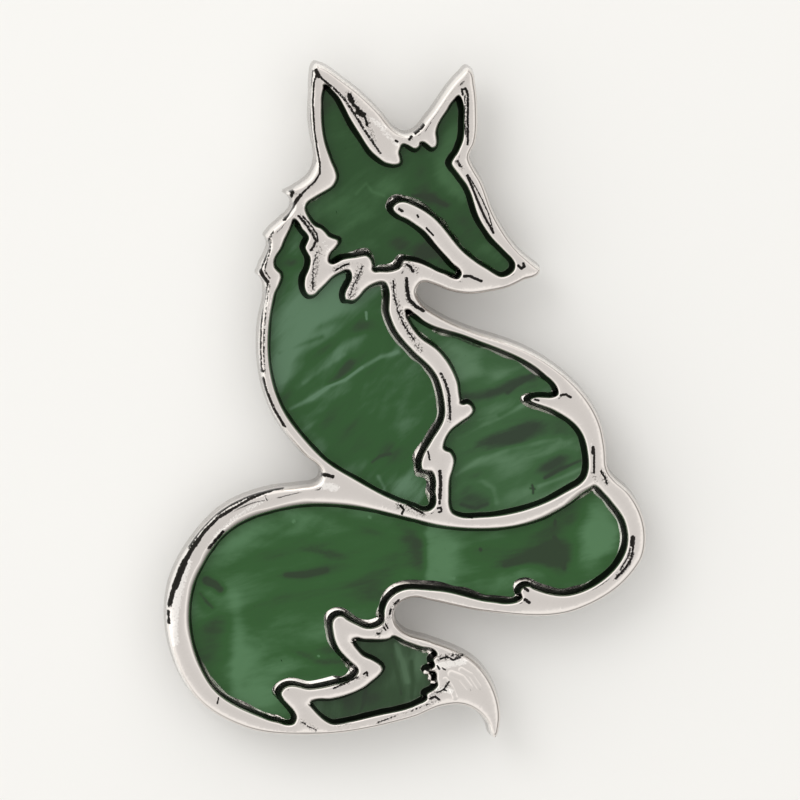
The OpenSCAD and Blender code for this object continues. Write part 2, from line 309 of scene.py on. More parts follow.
def crown_size(place, is_outer):
    """Drop and reach of the crown from an edge at a place."""
    share = min(1.0, sum(1.3 * nearness(place, *where) for where in ROLLED_SIDES)) if is_outer else 0.0
    return CROWN_DROP + share * ROLLED_DROP, CROWN_REACH + share * ROLLED_REACH


# %% [markdown]
# ## Rings of walls and shoulders
# A wall is an outline pushed up or down, so each loop is subdivided in the mesh and then extruded
# Downwards the outer loop makes the wall and the edge of the back, and a window's loop makes the
# wall, the seat, and the hidden wall to the plate. Some rings are marked for the finish: black
# painted shade on the windows' walls, cast skin at the edge of the back, and a painted highlight
# and dark specks on the seats.

# %% Extrude the rings
def next_ring(bm, ring, points, z):
    """Extrudes a closed ring of verts to the given points, at one height or at a list of heights."""
    edges = [bm.edges.get((a, b)) for a, b in zip(ring, ring[1:] + ring[:1])]
    made = bmesh.ops.extrude_edge_only(bm, edges=edges)["geom"]
    new = {v for v in made if isinstance(v, bmesh.types.BMVert)}
    heights = z if isinstance(z, list) else [z] * len(points)
    out = []
    for vert, point, height in zip(ring, points, heights):
        twin = next(e.other_vert(vert) for e in vert.link_edges if e.other_vert(vert) in new)
        twin.co = (point.x, point.y, height)
        out.append(twin)
    return out


def shoulder_point(edge, crest, low, high, t):
    """A point on the curve that leaves the wall upright and meets the crown at its slope."""
    corner = high - CROWN_RISE * (crest - edge).length
    return edge.lerp(crest, t * t), (1 - t) ** 2 * low + 2 * t * (1 - t) * corner + t * t * high


def started_ring(bm, points, edge):
    """The subdivided loop that runs along the given edge, starting at its first point."""
    ring = min((r for r in walk_loops(bm) if len(r) == len(edge)),
               key=lambda r: min((v.co.xy - edge[0]).length for v in r))
    first = min(range(len(ring)), key=lambda i: (ring[i].co.xy - edge[0]).length)
    return ring[first:] + ring[:first]


MARKS = ("grain", "specks_and_painted_reflection", "painted_highlight", "painted_shade")
rough = [[v.co.xy for v in ring] for ring in loops]
bmesh.ops.subdivide_edges(casting, edges=casting.edges[:], cuts=CUTS)
for name in MARKS:
    casting.verts.layers.float.new(name)
edges_of_loops = [finer(points) for points in rough]
rings = [started_ring(casting, points, edge) for points, edge in zip(rough, edges_of_loops)]
outer_index = max(range(len(rough)), key=lambda i: len(rough[i]))
grain_layer, specks_and_reflection_layer, highlight_layer, painted_shade_layer = (casting.verts.layers.float[name] for name in MARKS)
top_rings, foot_rings = [], []


def mark(ring, painted_shade, grain=0.0, painted_highlight=0.0, specks_and_painted_reflection=0.0):
    """Gives a ring its values for painted shade, roughness, a painted highlight and dark specks."""
    for vert in ring:
        vert[painted_shade_layer], vert[grain_layer], vert[highlight_layer] = painted_shade, grain, painted_highlight
        vert[specks_and_reflection_layer] = specks_and_painted_reflection


def raise_shoulder(ring, edge, crest, low, high):
    """Extrudes the rounded shoulder from the top of a wall up to the rim of the crown."""
    for k in range(1, SHOULDER_STEPS + 1):
        made = [shoulder_point(*row, k / SHOULDER_STEPS) for row in zip(edge, crest, low, high)]
        ring = next_ring(casting, ring, [place for place, _ in made], [z for _, z in made])
    return ring


for index, (ring, points) in enumerate(zip(rings, rough)):
    is_outer = index == outer_index
    if is_outer:
        edge = finer(points)
        crest = finer(moved(points, outer_shoulder))
        wall_top = [top_z - OUTER_SHOULDER[1]] * len(edge)
    else:
        points = moved(points, left_wall_shift)
        edge = finer(points)
        crest = finer(moved(points, lambda place, inward: -window_shoulder(place, inward)))
        worn = [(a - b).length - WINDOW_SHOULDER[0] for a, b in zip(edge, crest)]
        wall_top = [top_z - CROWN_DROP - WINDOW_SHOULDER[1] - WORN_FALL * extra for extra in worn]
    for vert, point, height in zip(ring, edge, wall_top):
        vert.co = (point.x, point.y, height)
    rim_z = [top_z - crown_size(place, is_outer)[0] for place in crest]
    top_rings.append(raise_shoulder(ring, edge, crest, wall_top, rim_z))
    if is_outer:
        lower = next_ring(casting, ring, edge, wall_top[0] - SHINE_END)
        lower = next_ring(casting, lower, finer(moved(points, -OUTER_LEAN)), back_z + BACK_EDGE)
        foot_rings.append(next_ring(casting, lower, finer(moved(points, BACK_EDGE - OUTER_LEAN)), back_z))
        mark(foot_rings[-1], 0.0, BACK_GRAIN)
        continue
    under_edge = finer(moved(points, WALL_START_IN))
    foot = moved(points, wall_lean)
    wall_foot, lip = finer(foot), finer(moved(foot, seat_width))
    lower = next_ring(casting, ring, under_edge, [z - WALL_START for z in wall_top])
    # Black painted shade on the window's wall, standing for the shade and dark reflections there
    mark(lower, 1.0)
    lower = next_ring(casting, lower, wall_foot, inlay_top_z + WALL_FOOT)
    for at_lip, height in SEAT_RINGS:
        lower = next_ring(casting, lower, lip if at_lip else wall_foot, inlay_top_z + height * MM)
        # Painted highlight on the seats, with dark specks
        mark(lower, 0.0, painted_highlight=SEAT_HIGHLIGHT, specks_and_painted_reflection=SEAT_SPECKS)
    foot_rings.append(next_ring(casting, lower, finer(moved(rough[index], HIDDEN_LEAN)), plate_z))
print("faces in the walls and shoulders:", len(casting.faces))

# %% [markdown]
# ## Casting marks
# The wheel doesn't reach into every corner, so folds, pits and scratches stay where the metal met
# in the mould. Folds are pressed in, with a painted dark reflection along them, and some patches
# and edges get a painted highlight. They were listed one by one and are
# drawn as strokes over the photograph's pixels, each with its width and its strength. A stroke
# finder keeps the parts of strokes in a coarse grid, so that each point asks only those near it.

# %% Casting marks
# Strokes on the metal: half width in pixels, depth in mm, darkness of the painted dark reflection
# in the groove, then the pixels of the photograph.
GROOVES = [
    # left ear
    (1.7, 0.05, 1.0, [(316, 72), (319, 78)]),
    (1.2, 0.03, 0.8, [(318, 76), (324, 82), (334, 90), (344, 100), (352, 112), (366, 134), (380, 154)]),
    (0.9, 0.03, 0.7, [(347, 104), (358, 120), (372, 142)]),
    (2.2, 0.05, 1.0, [(349, 97), (352, 103)]),
    (1.4, 0.04, 1.0, [(353, 106), (357, 109)]),
    (2.5, 0.05, 1.0, [(358, 113), (363, 116)]),
    (1.2, 0.04, 0.9, [(365, 119), (367, 127)]),
    (0.9, 0.03, 1.0, [(312.5, 72), (310.5, 88), (309.5, 108), (311, 130), (314, 150), (315.5, 161),
                      (313, 168), (306, 176), (298, 183), (290, 188)]),
    (0.9, 0.03, 1.0, [(317, 76), (314, 84), (313, 104), (314.5, 130), (317, 148), (320, 164),
                      (320, 174), (315, 182), (306, 190), (301, 195)]),
    (1.6, 0.04, 1.0, [(301, 195), (295, 203), (289, 212), (285, 219)]),
    (1.5, 0.04, 1.0, [(290, 189), (293, 193), (291, 197)]),
    # web between the ears
    (1.2, 0.03, 1.0, [(414, 133), (416, 129), (422, 125), (423, 128), (418, 132), (415, 135)]),
    (1.3, 0.04, 1.0, [(411, 138), (409, 141)]),
    (1.0, 0.03, 1.0, [(395, 142), (397, 143)]),
    # right ear and brow
    (1.1, 0.03, 0.9, [(462, 97), (461, 92), (465, 91), (467, 97), (467, 120), (467, 146)]),
    (0.8, 0.02, 0.7, [(464, 98), (464, 118), (465, 138)]),
    (1.4, 0.03, 0.8, [(457, 163), (460, 168)]),
    (1.1, 0.04, 1.0, [(466.5, 177), (471, 187), (476.5, 201), (484, 218), (493, 234)]),
    (0.7, 0.03, 0.8, [(467, 176), (473.5, 186), (481, 200), (488, 215), (493, 233)]),
    (1.2, 0.03, 1.0, [(518, 267), (521, 270), (524, 268), (523, 265)]),
    (1.3, 0.03, 1.0, [(464, 277), (470, 277), (476, 280), (481, 282)]),
    (1.2, 0.03, 1.0, [(399, 210), (402, 212)]),
    (0.9, 0.03, 1.0, [(417, 216), (418, 218)]),
    (0.9, 0.03, 1.0, [(426, 229), (433, 236)]),
    # collar
    (1.2, 0.04, 0.9, [(299, 216), (306, 224), (312, 233), (316, 240), (314, 246), (311, 250)]),
    (0.9, 0.03, 0.8, [(303, 216), (311, 225), (317, 234), (318, 241)]),
    (0.9, 0.03, 0.7, [(317, 252), (314, 262), (313, 276), (313, 288)]),
    (1.0, 0.03, 0.9, [(336, 270), (342, 266), (348, 264)]),
    (0.9, 0.03, 0.7, [(362, 267), (358, 276), (352, 288), (350, 296)]),
    (1.3, 0.05, 0.9, [(407, 265), (411, 268), (413, 272)]),
    (1.6, 0.04, 0.9, [(406, 279), (407, 290), (409, 300)]),
    (1.5, 0.04, 1.0, [(410, 301), (416, 307), (423, 311)]),
    (0.9, 0.03, 0.8, [(393, 281), (394, 296), (398, 312), (404, 326), (414, 340)]),
    # left contour
    (1.0, 0.03, 0.8, [(274, 231), (269, 239), (268, 250), (264, 262), (261, 270)]),
    (1.6, 0.04, 1.0, [(261, 270), (264, 276), (268, 281)]),
    (0.9, 0.03, 0.7, [(271, 240), (270, 252), (266, 264), (265, 270), (270, 277)]),
    (1.0, 0.03, 0.75, [(268, 281), (266, 292), (263, 306), (261.5, 325), (261, 345), (261.5, 366)]),
    (0.9, 0.03, 0.65, [(270, 284), (268, 296), (266, 310), (264.5, 330), (264, 350), (265, 372)]),
    (1.4, 0.04, 1.0, [(262, 368), (262, 370)]),
    (1.3, 0.03, 0.9, [(263, 376), (267, 390), (274, 407), (285, 426)]),
    (1.5, 0.03, 1.0, [(320, 474), (325, 474), (333, 476)]),
    # left loop
    (1.9, 0.03, 1.0, [(282, 486), (275, 487), (266, 490)]),
    (1.2, 0.02, 1.0, [(270, 489), (250, 497.5), (232, 507.5)]),
    (1.5, 0.02, 1.0, [(232, 507.5), (218, 516), (205, 529), (198, 538)]),
    (2.0, 0.02, 1.0, [(199, 537), (190, 550), (186, 558)]),
    (2.9, 0.02, 1.0, [(184.5, 560), (179.5, 572), (175, 584)]),
    (2.2, 0.02, 1.0, [(174, 586), (171, 596), (169.5, 603)]),
    (1.0, 0.02, 0.9, [(262, 491), (246, 496), (230, 504), (213, 515), (199, 530), (188, 546)]),
    (1.6, 0.02, 1.0, [(168, 609), (168, 612)]),
    (1.6, 0.02, 1.0, [(168.5, 617), (168.5, 621)]),
    (1.5, 0.03, 0.9, [(223, 530), (215, 539), (209, 546)]),
    (0.7, 0.02, 0.7, [(262, 492), (265, 495), (267, 499)]),
    (0.8, 0.02, 0.8, [(220, 693), (218, 698), (217, 703)]),
    # central bar
    (1.4, 0.04, 0.8, [(441, 374), (446, 384), (449, 396), (450, 412), (450, 420)]),
    (1.5, 0.05, 1.0, [(440, 472), (441, 484), (440, 499)]),
    (1.2, 0.04, 1.0, [(440, 502), (440, 504)]),
    (1.0, 0.04, 0.9, [(438, 509), (441, 508), (442, 512), (439, 513)]),
    (0.9, 0.04, 0.9, [(428, 452), (430, 460)]),
    (1.1, 0.04, 1.0, [(400, 505), (404, 510), (402, 514)]),
    (1.0, 0.04, 1.0, [(408, 505), (414, 509), (424, 514)]),
    (0.9, 0.04, 1.0, [(462, 512), (464, 515)]),
    (0.9, 0.04, 1.0, [(468, 518), (473, 519)]),
    # right side of the body and the right loop
    (1.6, 0.05, 1.0, [(594, 450), (594, 455)]),
    (1.0, 0.04, 1.0, [(595, 456), (595, 466), (595, 475)]),
    (1.2, 0.04, 0.8, [(602, 474), (606, 480), (608, 486)]),
    (1.1, 0.04, 1.0, [(561, 397), (566, 396), (571, 399)]),
    (0.9, 0.04, 1.0, [(535, 401), (539, 402)]),
    (2.0, 0.06, 1.0, [(634.5, 541), (634, 548)]),
    (1.0, 0.03, 0.9, [(635, 550), (633, 562), (626, 573), (617, 582)]),
    (0.9, 0.03, 0.8, [(632, 552), (629, 562), (622, 573)]),
    (0.8, 0.03, 0.7, [(636, 556), (631, 569), (622, 579)]),
    (1.4, 0.04, 1.0, [(526, 591), (529, 593)]),
    (1.5, 0.04, 1.0, [(526, 602), (530, 605)]),
    # tail end
    (1.2, 0.05, 0.8, [(441, 661), (447, 659), (454, 662), (460, 660), (463, 657)]),
    (1.0, 0.04, 0.7, [(452, 658), (457, 656.5), (463, 657)]),
    (0.9, 0.04, 0.9, [(438, 668), (440, 671)]),
    (0.8, 0.04, 0.8, [(443, 670), (446, 672)]),
    (0.8, 0.04, 0.9, [(438, 695), (444, 692), (447, 688), (450, 684)]),
    (0.8, 0.04, 0.8, [(444, 692), (447, 693)]),
    (1.1, 0.04, 0.9, [(431, 701), (436, 699), (440, 702)]),
    (4.0, 0.05, 0.0, [(452, 676), (462, 680), (470, 690)]),
    (3.0, 0.04, 0.0, [(462, 672), (472, 678), (480, 690)]),
    (3.0, 0.04, 0.0, [(446, 682), (452, 690), (456, 700)]),
    # fur steps and lower tail
    (1.1, 0.03, 0.8, [(334, 689), (346, 684), (358, 678)]),
    (0.9, 0.04, 0.9, [(364, 675), (367, 673), (368, 677)]),
    (0.9, 0.04, 0.9, [(386, 625), (388, 629)]),
    (1.0, 0.04, 0.9, [(391, 610), (390, 615)]),
    (1.1, 0.04, 0.9, [(395, 605), (399, 601)]),
    (0.9, 0.04, 0.9, [(377, 634), (380, 635)]),
    (0.8, 0.04, 0.8, [(384, 628), (386, 631)]),
    (0.8, 0.03, 0.7, [(377, 725), (388, 721), (396, 718)]),
    (0.8, 0.03, 0.6, [(412, 713), (426, 708), (438, 702)]),
    (0.8, 0.03, 0.7, [(301, 722), (308, 727), (316, 731)]),
]
# Rough strips on the metal: half width in pixels, roughness from 0 to 1, then the pixels
GRAINS = [
    (3.5, 0.9, [(348, 96), (356, 108), (368, 124)]),
    (2.5, 0.6, [(368, 126), (374, 140)]),
    (2.4, 0.8, [(300, 216), (310, 228), (317, 240), (312, 250)]),
    (3.4, 0.9, [(318, 254), (315, 270), (312, 288)]),
    (2.6, 0.7, [(318, 246), (322, 254)]),
    (3, 0.7, [(335, 269), (348, 264)]),
    (4, 1.0, [(361, 268), (355, 282), (351, 296)]),
    (3.2, 1.0, [(393, 282), (396, 300), (402, 320), (412, 338), (421, 350)]),
    (2.6, 1.0, [(406, 280), (408, 300), (418, 309)]),
    (2.2, 0.7, [(449, 396), (449, 422)]),
    (4.5, 0.8, [(399, 506), (412, 509), (424, 513)]),
    (4, 1.0, [(405, 264), (416, 271)]),
    (2.4, 0.7, [(593, 476), (597, 482)]),
    (3.2, 0.7, [(602, 474), (608, 486)]),
    (2.6, 0.9, [(634, 552), (629, 568), (617, 582)]),
    (3.6, 1.0, [(440, 660), (463, 657)]),
    (3.5, 0.7, [(432, 700), (448, 687)]),
    (2.5, 0.7, [(394, 604), (389, 620), (378, 636)]),
    (2.0, 0.5, [(337, 687), (366, 677)]),
    (3, 0.5, [(302, 722), (316, 731)]),
    (2.4, 0.6, [(322, 473), (333, 476)]),
    (2.0, 0.5, [(466, 98), (467, 146)]),
    (2.6, 0.8, [(456, 162), (461, 169)]),
    (2.0, 0.4, [(335, 727), (350, 726)]),
    (1.8, 0.4, [(377, 725), (440, 703)]),
]
# Patches with a painted highlight, where the metal is painted lighter: half width in pixels, strength, then
# the pixels
PAINTED_HIGHLIGHTS = [
    (5, 0.9, [(187, 560), (181, 580), (176, 600), (173, 620), (174, 640)]),
    (4, 0.9, [(322, 485), (336, 487)]),
    (3, 0.8, [(300, 487), (320, 482)]),
    (3, 0.7, [(383, 133), (397, 146)]),
    (3, 0.7, [(371, 121), (384, 129)]),
    (4, 0.9, [(440, 668), (464, 664)]),
    (3, 0.8, [(436, 690), (452, 694)]),
    (2.5, 0.7, [(262, 500), (236, 515), (214, 535)]),
    (2.5, 0.6, [(304, 205), (312, 215)]),
    (2.5, 0.6, [(324, 242), (330, 252)]),
    (2.5, 0.6, [(418, 318), (436, 340)]),
    (2.0, 0.6, [(592, 440), (593, 449)]),
    (2.0, 0.6, [(430, 268), (450, 276)]),
    (2.0, 0.6, [(404, 226), (424, 240), (440, 256)]),
]


def stroke_parts(strokes):
    """Every stroke as its short straight parts, with its half width and strength."""
    parts = []
    for half, *strengths, pixels in strokes:
        places = [seen(*p) for p in pixels]
        parts += [(a, b, half * PIXEL, *strengths) for a, b in zip(places, places[1:])]
    return parts


def from_part(place, a, b):
    """Distance of a place from a straight part."""
    along = b - a
    share = max(0.0, min(1.0, (place - a).dot(along) / max(along.length_squared, 1e-18)))
    return (place - a - along * share).length


def stroke_finder(parts, reach):
    cell = 1.0 * MM
    cells = {}
    for part in parts:
        a, b, half = part[:3]
        pad = half + reach
        for i in range(int((min(a.x, b.x) - pad) // cell), int((max(a.x, b.x) + pad) // cell) + 1):
            for j in range(int((min(a.y, b.y) - pad) // cell), int((max(a.y, b.y) + pad) // cell) + 1):
                cells.setdefault((i, j), []).append(part)
    return lambda place: cells.get((int(place.x // cell), int(place.y // cell)), ())


grooves_near = stroke_finder(stroke_parts(GROOVES), 0.7 * MM)
grains_near = stroke_finder(stroke_parts(GRAINS), 0.2 * MM)
highlights_near = stroke_finder(stroke_parts(PAINTED_HIGHLIGHTS), 0.3 * MM)
print("grooves:", len(GROOVES), "rough strips:", len(GRAINS), "buffed patches:", len(PAINTED_HIGHLIGHTS))

# %% [markdown]
# ## The tops of the bars
# The space between the outer loop and the windows is filled with triangles. A filled face has no
# points inside, so it can't be crowned. Its long edges are divided, the triangles are evened out
# and their inner points relaxed, again and again, as one would remesh it by hand. The mesh gets
# finest where a casting mark will be pressed in.

# %% Fill and refine the tops
FINEST, COARSEST = 0.06 * MM, 0.3 * MM
# Edges grow by this share of the distance to the nearest mark, and are divided when this much too long
EDGE_GROWTH, TOO_LONG = 0.5, 1.35
BARE_TOP = 1


def wanted_length(place):
    """Longest edge wanted at a place: short near a groove."""
    near = min((from_part(place, part[0], part[1]) - part[2] for part in grooves_near(place)), default=1)
    return max(FINEST, min(COARSEST, FINEST + EDGE_GROWTH * (near - 0.04 * MM)))


def loop_edges(bm, ring):
    return [bm.edges.get((a, b)) for a, b in zip(ring, ring[1:] + ring[:1])]


def fill(bm, rings, up):
    """Fills between closed rings with triangles, and returns them."""
    edges = [e for ring in rings for e in loop_edges(bm, ring)]
    made = bmesh.ops.triangle_fill(bm, use_beauty=True, edges=edges, normal=(0, 0, up))
    return [f for f in made["geom"] if isinstance(f, bmesh.types.BMFace)]


def top_faces(bm):
    return [f for f in bm.faces if f.material_index == BARE_TOP]


def inner_edges(bm):
    """Edges with a top face on both sides."""
    return [e for e in bm.edges
            if e.link_faces and all(f.material_index == BARE_TOP for f in e.link_faces)]


def inner_verts(bm):
    """Verts with top faces all round."""
    return [v for v in bm.verts
            if v.link_faces and all(f.material_index == BARE_TOP for f in v.link_faces)]


def divide_evenly(bm, wanted, rounds, relax):
    """Divides long edges of the top, evens out the triangles and relaxes the inner points."""
    for step in range(rounds):
        long = [e for e in inner_edges(bm)
                if e.calc_length() > TOO_LONG * wanted((e.verts[0].co.xy + e.verts[1].co.xy) / 2)]
        if not long:
            break
        bmesh.ops.subdivide_edges(bm, edges=long, cuts=1)
        bmesh.ops.triangulate(bm, faces=[f for f in top_faces(bm) if len(f.verts) > 3])
        # A point with only two faces hangs on a flap, which is two flat triangles over each other
        flaps = [v for v in inner_verts(bm) if len(v.link_faces) == 2]
        bmesh.ops.delete(bm, geom=flaps, context="VERTS")
        bmesh.ops.beautify_fill(bm, faces=top_faces(bm), edges=inner_edges(bm), method="ANGLE")
        loose = inner_verts(bm)
        for _ in range(relax):
            bmesh.ops.smooth_vert(bm, verts=loose, factor=0.5, use_axis_x=True, use_axis_y=True)
    print("rounds:", step + 1, "top faces:", len(top_faces(bm)))


for face in fill(casting, top_rings, 1):
    face.material_index = BARE_TOP
for ring in foot_rings:
    fill(casting, [ring], -1)


def ring_sides(rings_here):
    """Each point of some rings with its two neighbours."""
    return [(ring[i - 1].co.xy, v.co.xy, ring[(i + 1) % len(ring)].co.xy)
            for ring in rings_here for i, v in enumerate(ring)]


outer_sides = ring_sides([top_rings[outer_index]])
window_sides = ring_sides([r for i, r in enumerate(top_rings) if i != outer_index])
divide_evenly(casting, wanted_length, rounds=11, relax=3)

# %% [markdown]
# ## Crown and marks
# Molten metal draws back as it cools and the polishing wheel rounds what is left, so no bar is
# flat. Each inner point sinks by its distance from the nearest edge, on a parabola that meets the
# shoulder's slope. Then the marks are pressed in: folds and pits where the metal met in the mould.

# %% Crown the tops and press in the marks
UNEVEN_TOP, UNEVEN_FINENESS = 0.01 * MM, 420
# Where a mark's value starts to fade from its middle line, and how fast, in half widths
FADES = {"specks_and_painted_reflection": (1.8, 1.0), "grain": (1.6, 1.2), "painted_highlight": (1.6, 1.0)}
# The outer wall that faces the near side, where the camera leans from and the tent is brightest, gets a
# painted highlight from its top downwards
NEAR_SIDE_OUT = Vector((-0.66, 0.75))
HIGHLIGHT_REACH, HIGHLIGHT_DEPTH = 0.7 * MM, 1.4 * MM


def rim_distance(sides):
    """A function from a place to its distance from the nearest rim edge."""
    tree = kdtree.KDTree(len(sides))
    for i, (_, here, _) in enumerate(sides):
        tree.insert((here.x, here.y, 0), i)
    tree.balance()

    def distance(place):
        last, here, ahead = sides[tree.find((place.x, place.y, 0))[1]]
        return min(from_part(place, last, here), from_part(place, here, ahead))
    return distance


from_outside, from_window = rim_distance(outer_sides), rim_distance(window_sides)
inner = inner_verts(casting)
for vert in inner:
    place = vert.co.xy
    fall, still = 0.0, 1.0
    for distance, is_outer in ((from_outside(place), True), (from_window(place), False)):
        drop, reach_in = crown_size(place, is_outer)
        gap = max(0.0, 1 - distance / reach_in)
        fall += drop * gap * gap
        still *= 1 - gap
    wave = UNEVEN_TOP * (1 + noise.noise(vert.co * UNEVEN_FINENESS))
    vert.co.z = top_z - fall - wave * still
bmesh.ops.smooth_vert(casting, verts=inner, factor=0.5, use_axis_z=True)


def as_seen(vert):
    """The place on top of the casting that covers a vert in the photograph."""
    return vert.co.xy + lean_shift(top_z - vert.co.z)


def strongest(vert, place, parts_near, layer, start, slope):
    """Raises a vert's value to that of the nearest stroke, which fades from its middle line."""
    for a, b, half, *_, strength in parts_near(place):
        far = from_part(place, a, b) / half
        vert[layer] = max(vert[layer], strength * max(0.0, min(1.0, start - slope * far)))


for vert in inner:
    press = 0.0
    for a, b, half, depth, _ in grooves_near(vert.co.xy):
        far = from_part(vert.co.xy, a, b) / half
        press = max(press, depth * MM * max(0.0, 1 - far * far))
    vert.co.z -= press
# Splashes of metal on the tail-tip inlay: photo pixel and half sizes in mm
SPLASHES = [(427, 674, 0.32, 0.24, 0.24), (430, 679, 0.22, 0.34, 0.3), (434, 684, 0.34, 0.2, 0.3)]
for px, py, wide, long, tall in SPLASHES:
    across = seen(px, py) - lean_shift(top_z - inlay_top_z)
    for vert in bmesh.ops.create_icosphere(casting, subdivisions=3, radius=MM)["verts"]:
        swell = 1 + 0.25 * noise.noise(vert.co * 1500)
        vert.co = Vector((across.x + wide * swell * vert.co.x, across.y + long * swell * vert.co.y,
                          inlay_top_z + (tall + 0.02) * MM + tall * vert.co.z))
above_seats = inlay_top_z + WALL_FOOT + 0.01 * MM
# The groove strokes paint dark reflections, and the highlight strokes paint highlights
for vert in casting.verts:
    if vert.co.z > above_seats:
        place = as_seen(vert)
        strongest(vert, place, grooves_near, specks_and_reflection_layer, *FADES["specks_and_painted_reflection"])
        strongest(vert, place, grains_near, grain_layer, *FADES["grain"])
        strongest(vert, place, highlights_near, highlight_layer, *FADES["painted_highlight"])
bmesh.ops.recalc_face_normals(casting, faces=casting.faces[:])
casting.normal_update()
# Painted highlight on the outer wall's near side, strongest where the wall faces that side
for vert in casting.verts:
    if from_outside(vert.co.xy) < HIGHLIGHT_REACH and vert.normal.z < 0.75:
        facing = NEAR_SIDE_OUT.dot(vert.normal.xy)
        high = max(0.0, min(1.0, (vert.co.z - top_z + HIGHLIGHT_DEPTH) / (0.5 * HIGHLIGHT_DEPTH)))
        vert[highlight_layer] = max(vert[highlight_layer], min(1.0, 0.5 + 0.9 * facing) * high)


def finish_mesh(bm, name, sharp_degrees):
    """Turns a bmesh into an object. Caps and faces that look straight down are shaded flat."""
    bm.normal_update()
    for face in bm.faces:
        face.material_index = 0
        face.smooth = len(face.verts) < 5 and face.normal.z > -0.999
    mesh = bpy.data.meshes.new(name)
    bm.to_mesh(mesh)
    bm.free()
    mesh.set_sharp_from_angle(angle=math.radians(sharp_degrees))
    piece = bpy.data.objects.new(name, mesh)
    bpy.context.scene.collection.objects.link(piece)
    return piece


def count_triangles(piece):
    return sum(len(p.vertices) - 2 for p in piece.data.polygons)


fox = finish_mesh(casting, "fox_casting", 60)
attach(fox, "root")
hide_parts("frame")
print("casting triangles:", count_triangles(fox))

# %% [markdown]
# ## The inlays
# Each inlay is a thin sheet, sawn to the window and polished, so its upper edge is slightly
# rounded. Its outline comes from the CAD node of the inlay. The sheet is clouded right through, and
# the clouds don't repeat, so their places are given one by one: a soft value at each point says how
# light or smoky the sheet is there, and a noise in the material breaks it into veins.

# %% Make the inlays
# Clouds: photo pixel, half length and half width in pixels, turn in degrees, light (+) or smoky (-)
CLOUDS = {
    "panel_head": [
        (345, 120, 12, 5, -65, -0.4), (345, 205, 28, 20, 0, 0.4), (425, 182, 14, 20, 0, -0.6),
        (432, 200, 24, 7, -20, -0.5), (455, 185, 26, 12, -50, 0.6), (455, 128, 28, 10, 75, 0.4),
        (495, 256, 20, 9, -45, 0.5), (468, 228, 14, 9, -40, -0.3), (402, 246, 26, 8, -25, -0.5),
        (436, 256, 20, 6, -30, -0.4), (395, 190, 22, 8, -20, 0.25), (366, 226, 26, 5, 25, -0.3),
    ],
    "panel_chest": [
        (296, 244, 20, 9, 75, 0.5), (292, 262, 9, 5, 0, -0.6), (336, 290, 32, 11, 20, 0.6),
        (298, 326, 44, 24, 60, 0.65), (282, 372, 28, 9, 80, 0.55), (362, 326, 22, 10, 8, -0.7),
        (318, 350, 26, 6, 28, -0.6), (345, 372, 18, 8, 45, -0.45), (285, 396, 12, 5, 50, -0.5),
        (350, 424, 54, 26, 20, -0.28), (384, 448, 20, 12, 0, -0.4), (408, 428, 40, 13, 75, 0.35),
        (396, 388, 26, 15, 25, -0.35), (402, 484, 22, 15, 0, 0.55), (315, 436, 26, 7, -60, 0.25),
        (318, 395, 20, 5, 30, 0.3),
        (330, 322, 26, 4, 22, -0.3), (300, 300, 20, 4, 40, 0.3),
    ],
    "panel_flank": [
        (452, 346, 20, 8, -30, 0.3), (480, 374, 30, 9, 0, 0.5), (546, 394, 20, 6, 20, 0.3),
        (526, 427, 16, 5, 20, -0.4), (515, 437, 30, 9, 25, -0.55), (488, 442, 28, 6, 22, -0.35),
        (510, 466, 28, 13, 10, 0.7), (556, 448, 34, 8, 12, 0.5), (560, 463, 26, 8, 15, -0.5),
        (552, 475, 16, 9, 40, -0.3), (474, 500, 17, 10, -10, -0.4), (520, 498, 26, 14, 20, 0.55),
        (500, 410, 30, 7, 15, 0.3), (476, 462, 22, 8, 15, 0.35),
        (470, 430, 20, 5, 30, -0.3), (560, 494, 26, 7, 30, 0.4), (486, 366, 8, 14, 0, -0.3),
    ],
    "panel_tail": [
        (245, 530, 34, 14, 40, 0.6), (205, 602, 12, 7, -40, -0.4), (243, 640, 16, 44, 5, 0.4),
        (252, 694, 26, 18, 0, 0.5), (212, 646, 14, 28, 0, -0.25), (310, 572, 34, 6, 8, -0.7),
        (325, 553, 28, 4, -10, -0.5), (300, 540, 40, 5, -5, -0.3), (360, 526, 32, 7, -20, -0.5),
        (410, 536, 18, 10, -45, -0.6), (421, 562, 8, 24, 0, -0.35), (442, 556, 16, 34, 0, 0.8),
        (456, 562, 26, 22, 0, 0.4), (550, 552, 28, 14, 10, -0.6), (558, 565, 20, 14, 0, -0.7),
        (515, 563, 24, 6, 10, -0.6), (560, 530, 26, 9, 20, -0.45), (576, 514, 16, 10, 30, -0.3),
        (600, 538, 18, 36, -10, 0.9), (325, 650, 26, 8, 0, -0.6), (330, 663, 20, 4, 0, -0.6),
        (303, 656, 16, 4, -20, -0.5), (370, 598, 34, 20, 0, -0.25), (300, 514, 20, 6, 0, 0.3),
        (280, 620, 30, 8, 20, 0.2), (500, 540, 20, 6, 0, 0.2), (290, 595, 30, 6, 10, -0.2),
    ],
    "panel_tail_tip": [
        (378, 700, 24, 8, 10, -0.5), (350, 706, 6, 13, 0, -0.5), (420, 664, 8, 20, 0, 0.3),
        (384, 654, 16, 8, 0, 0.2), (424, 694, 12, 8, 0, 0.2),
    ],
}
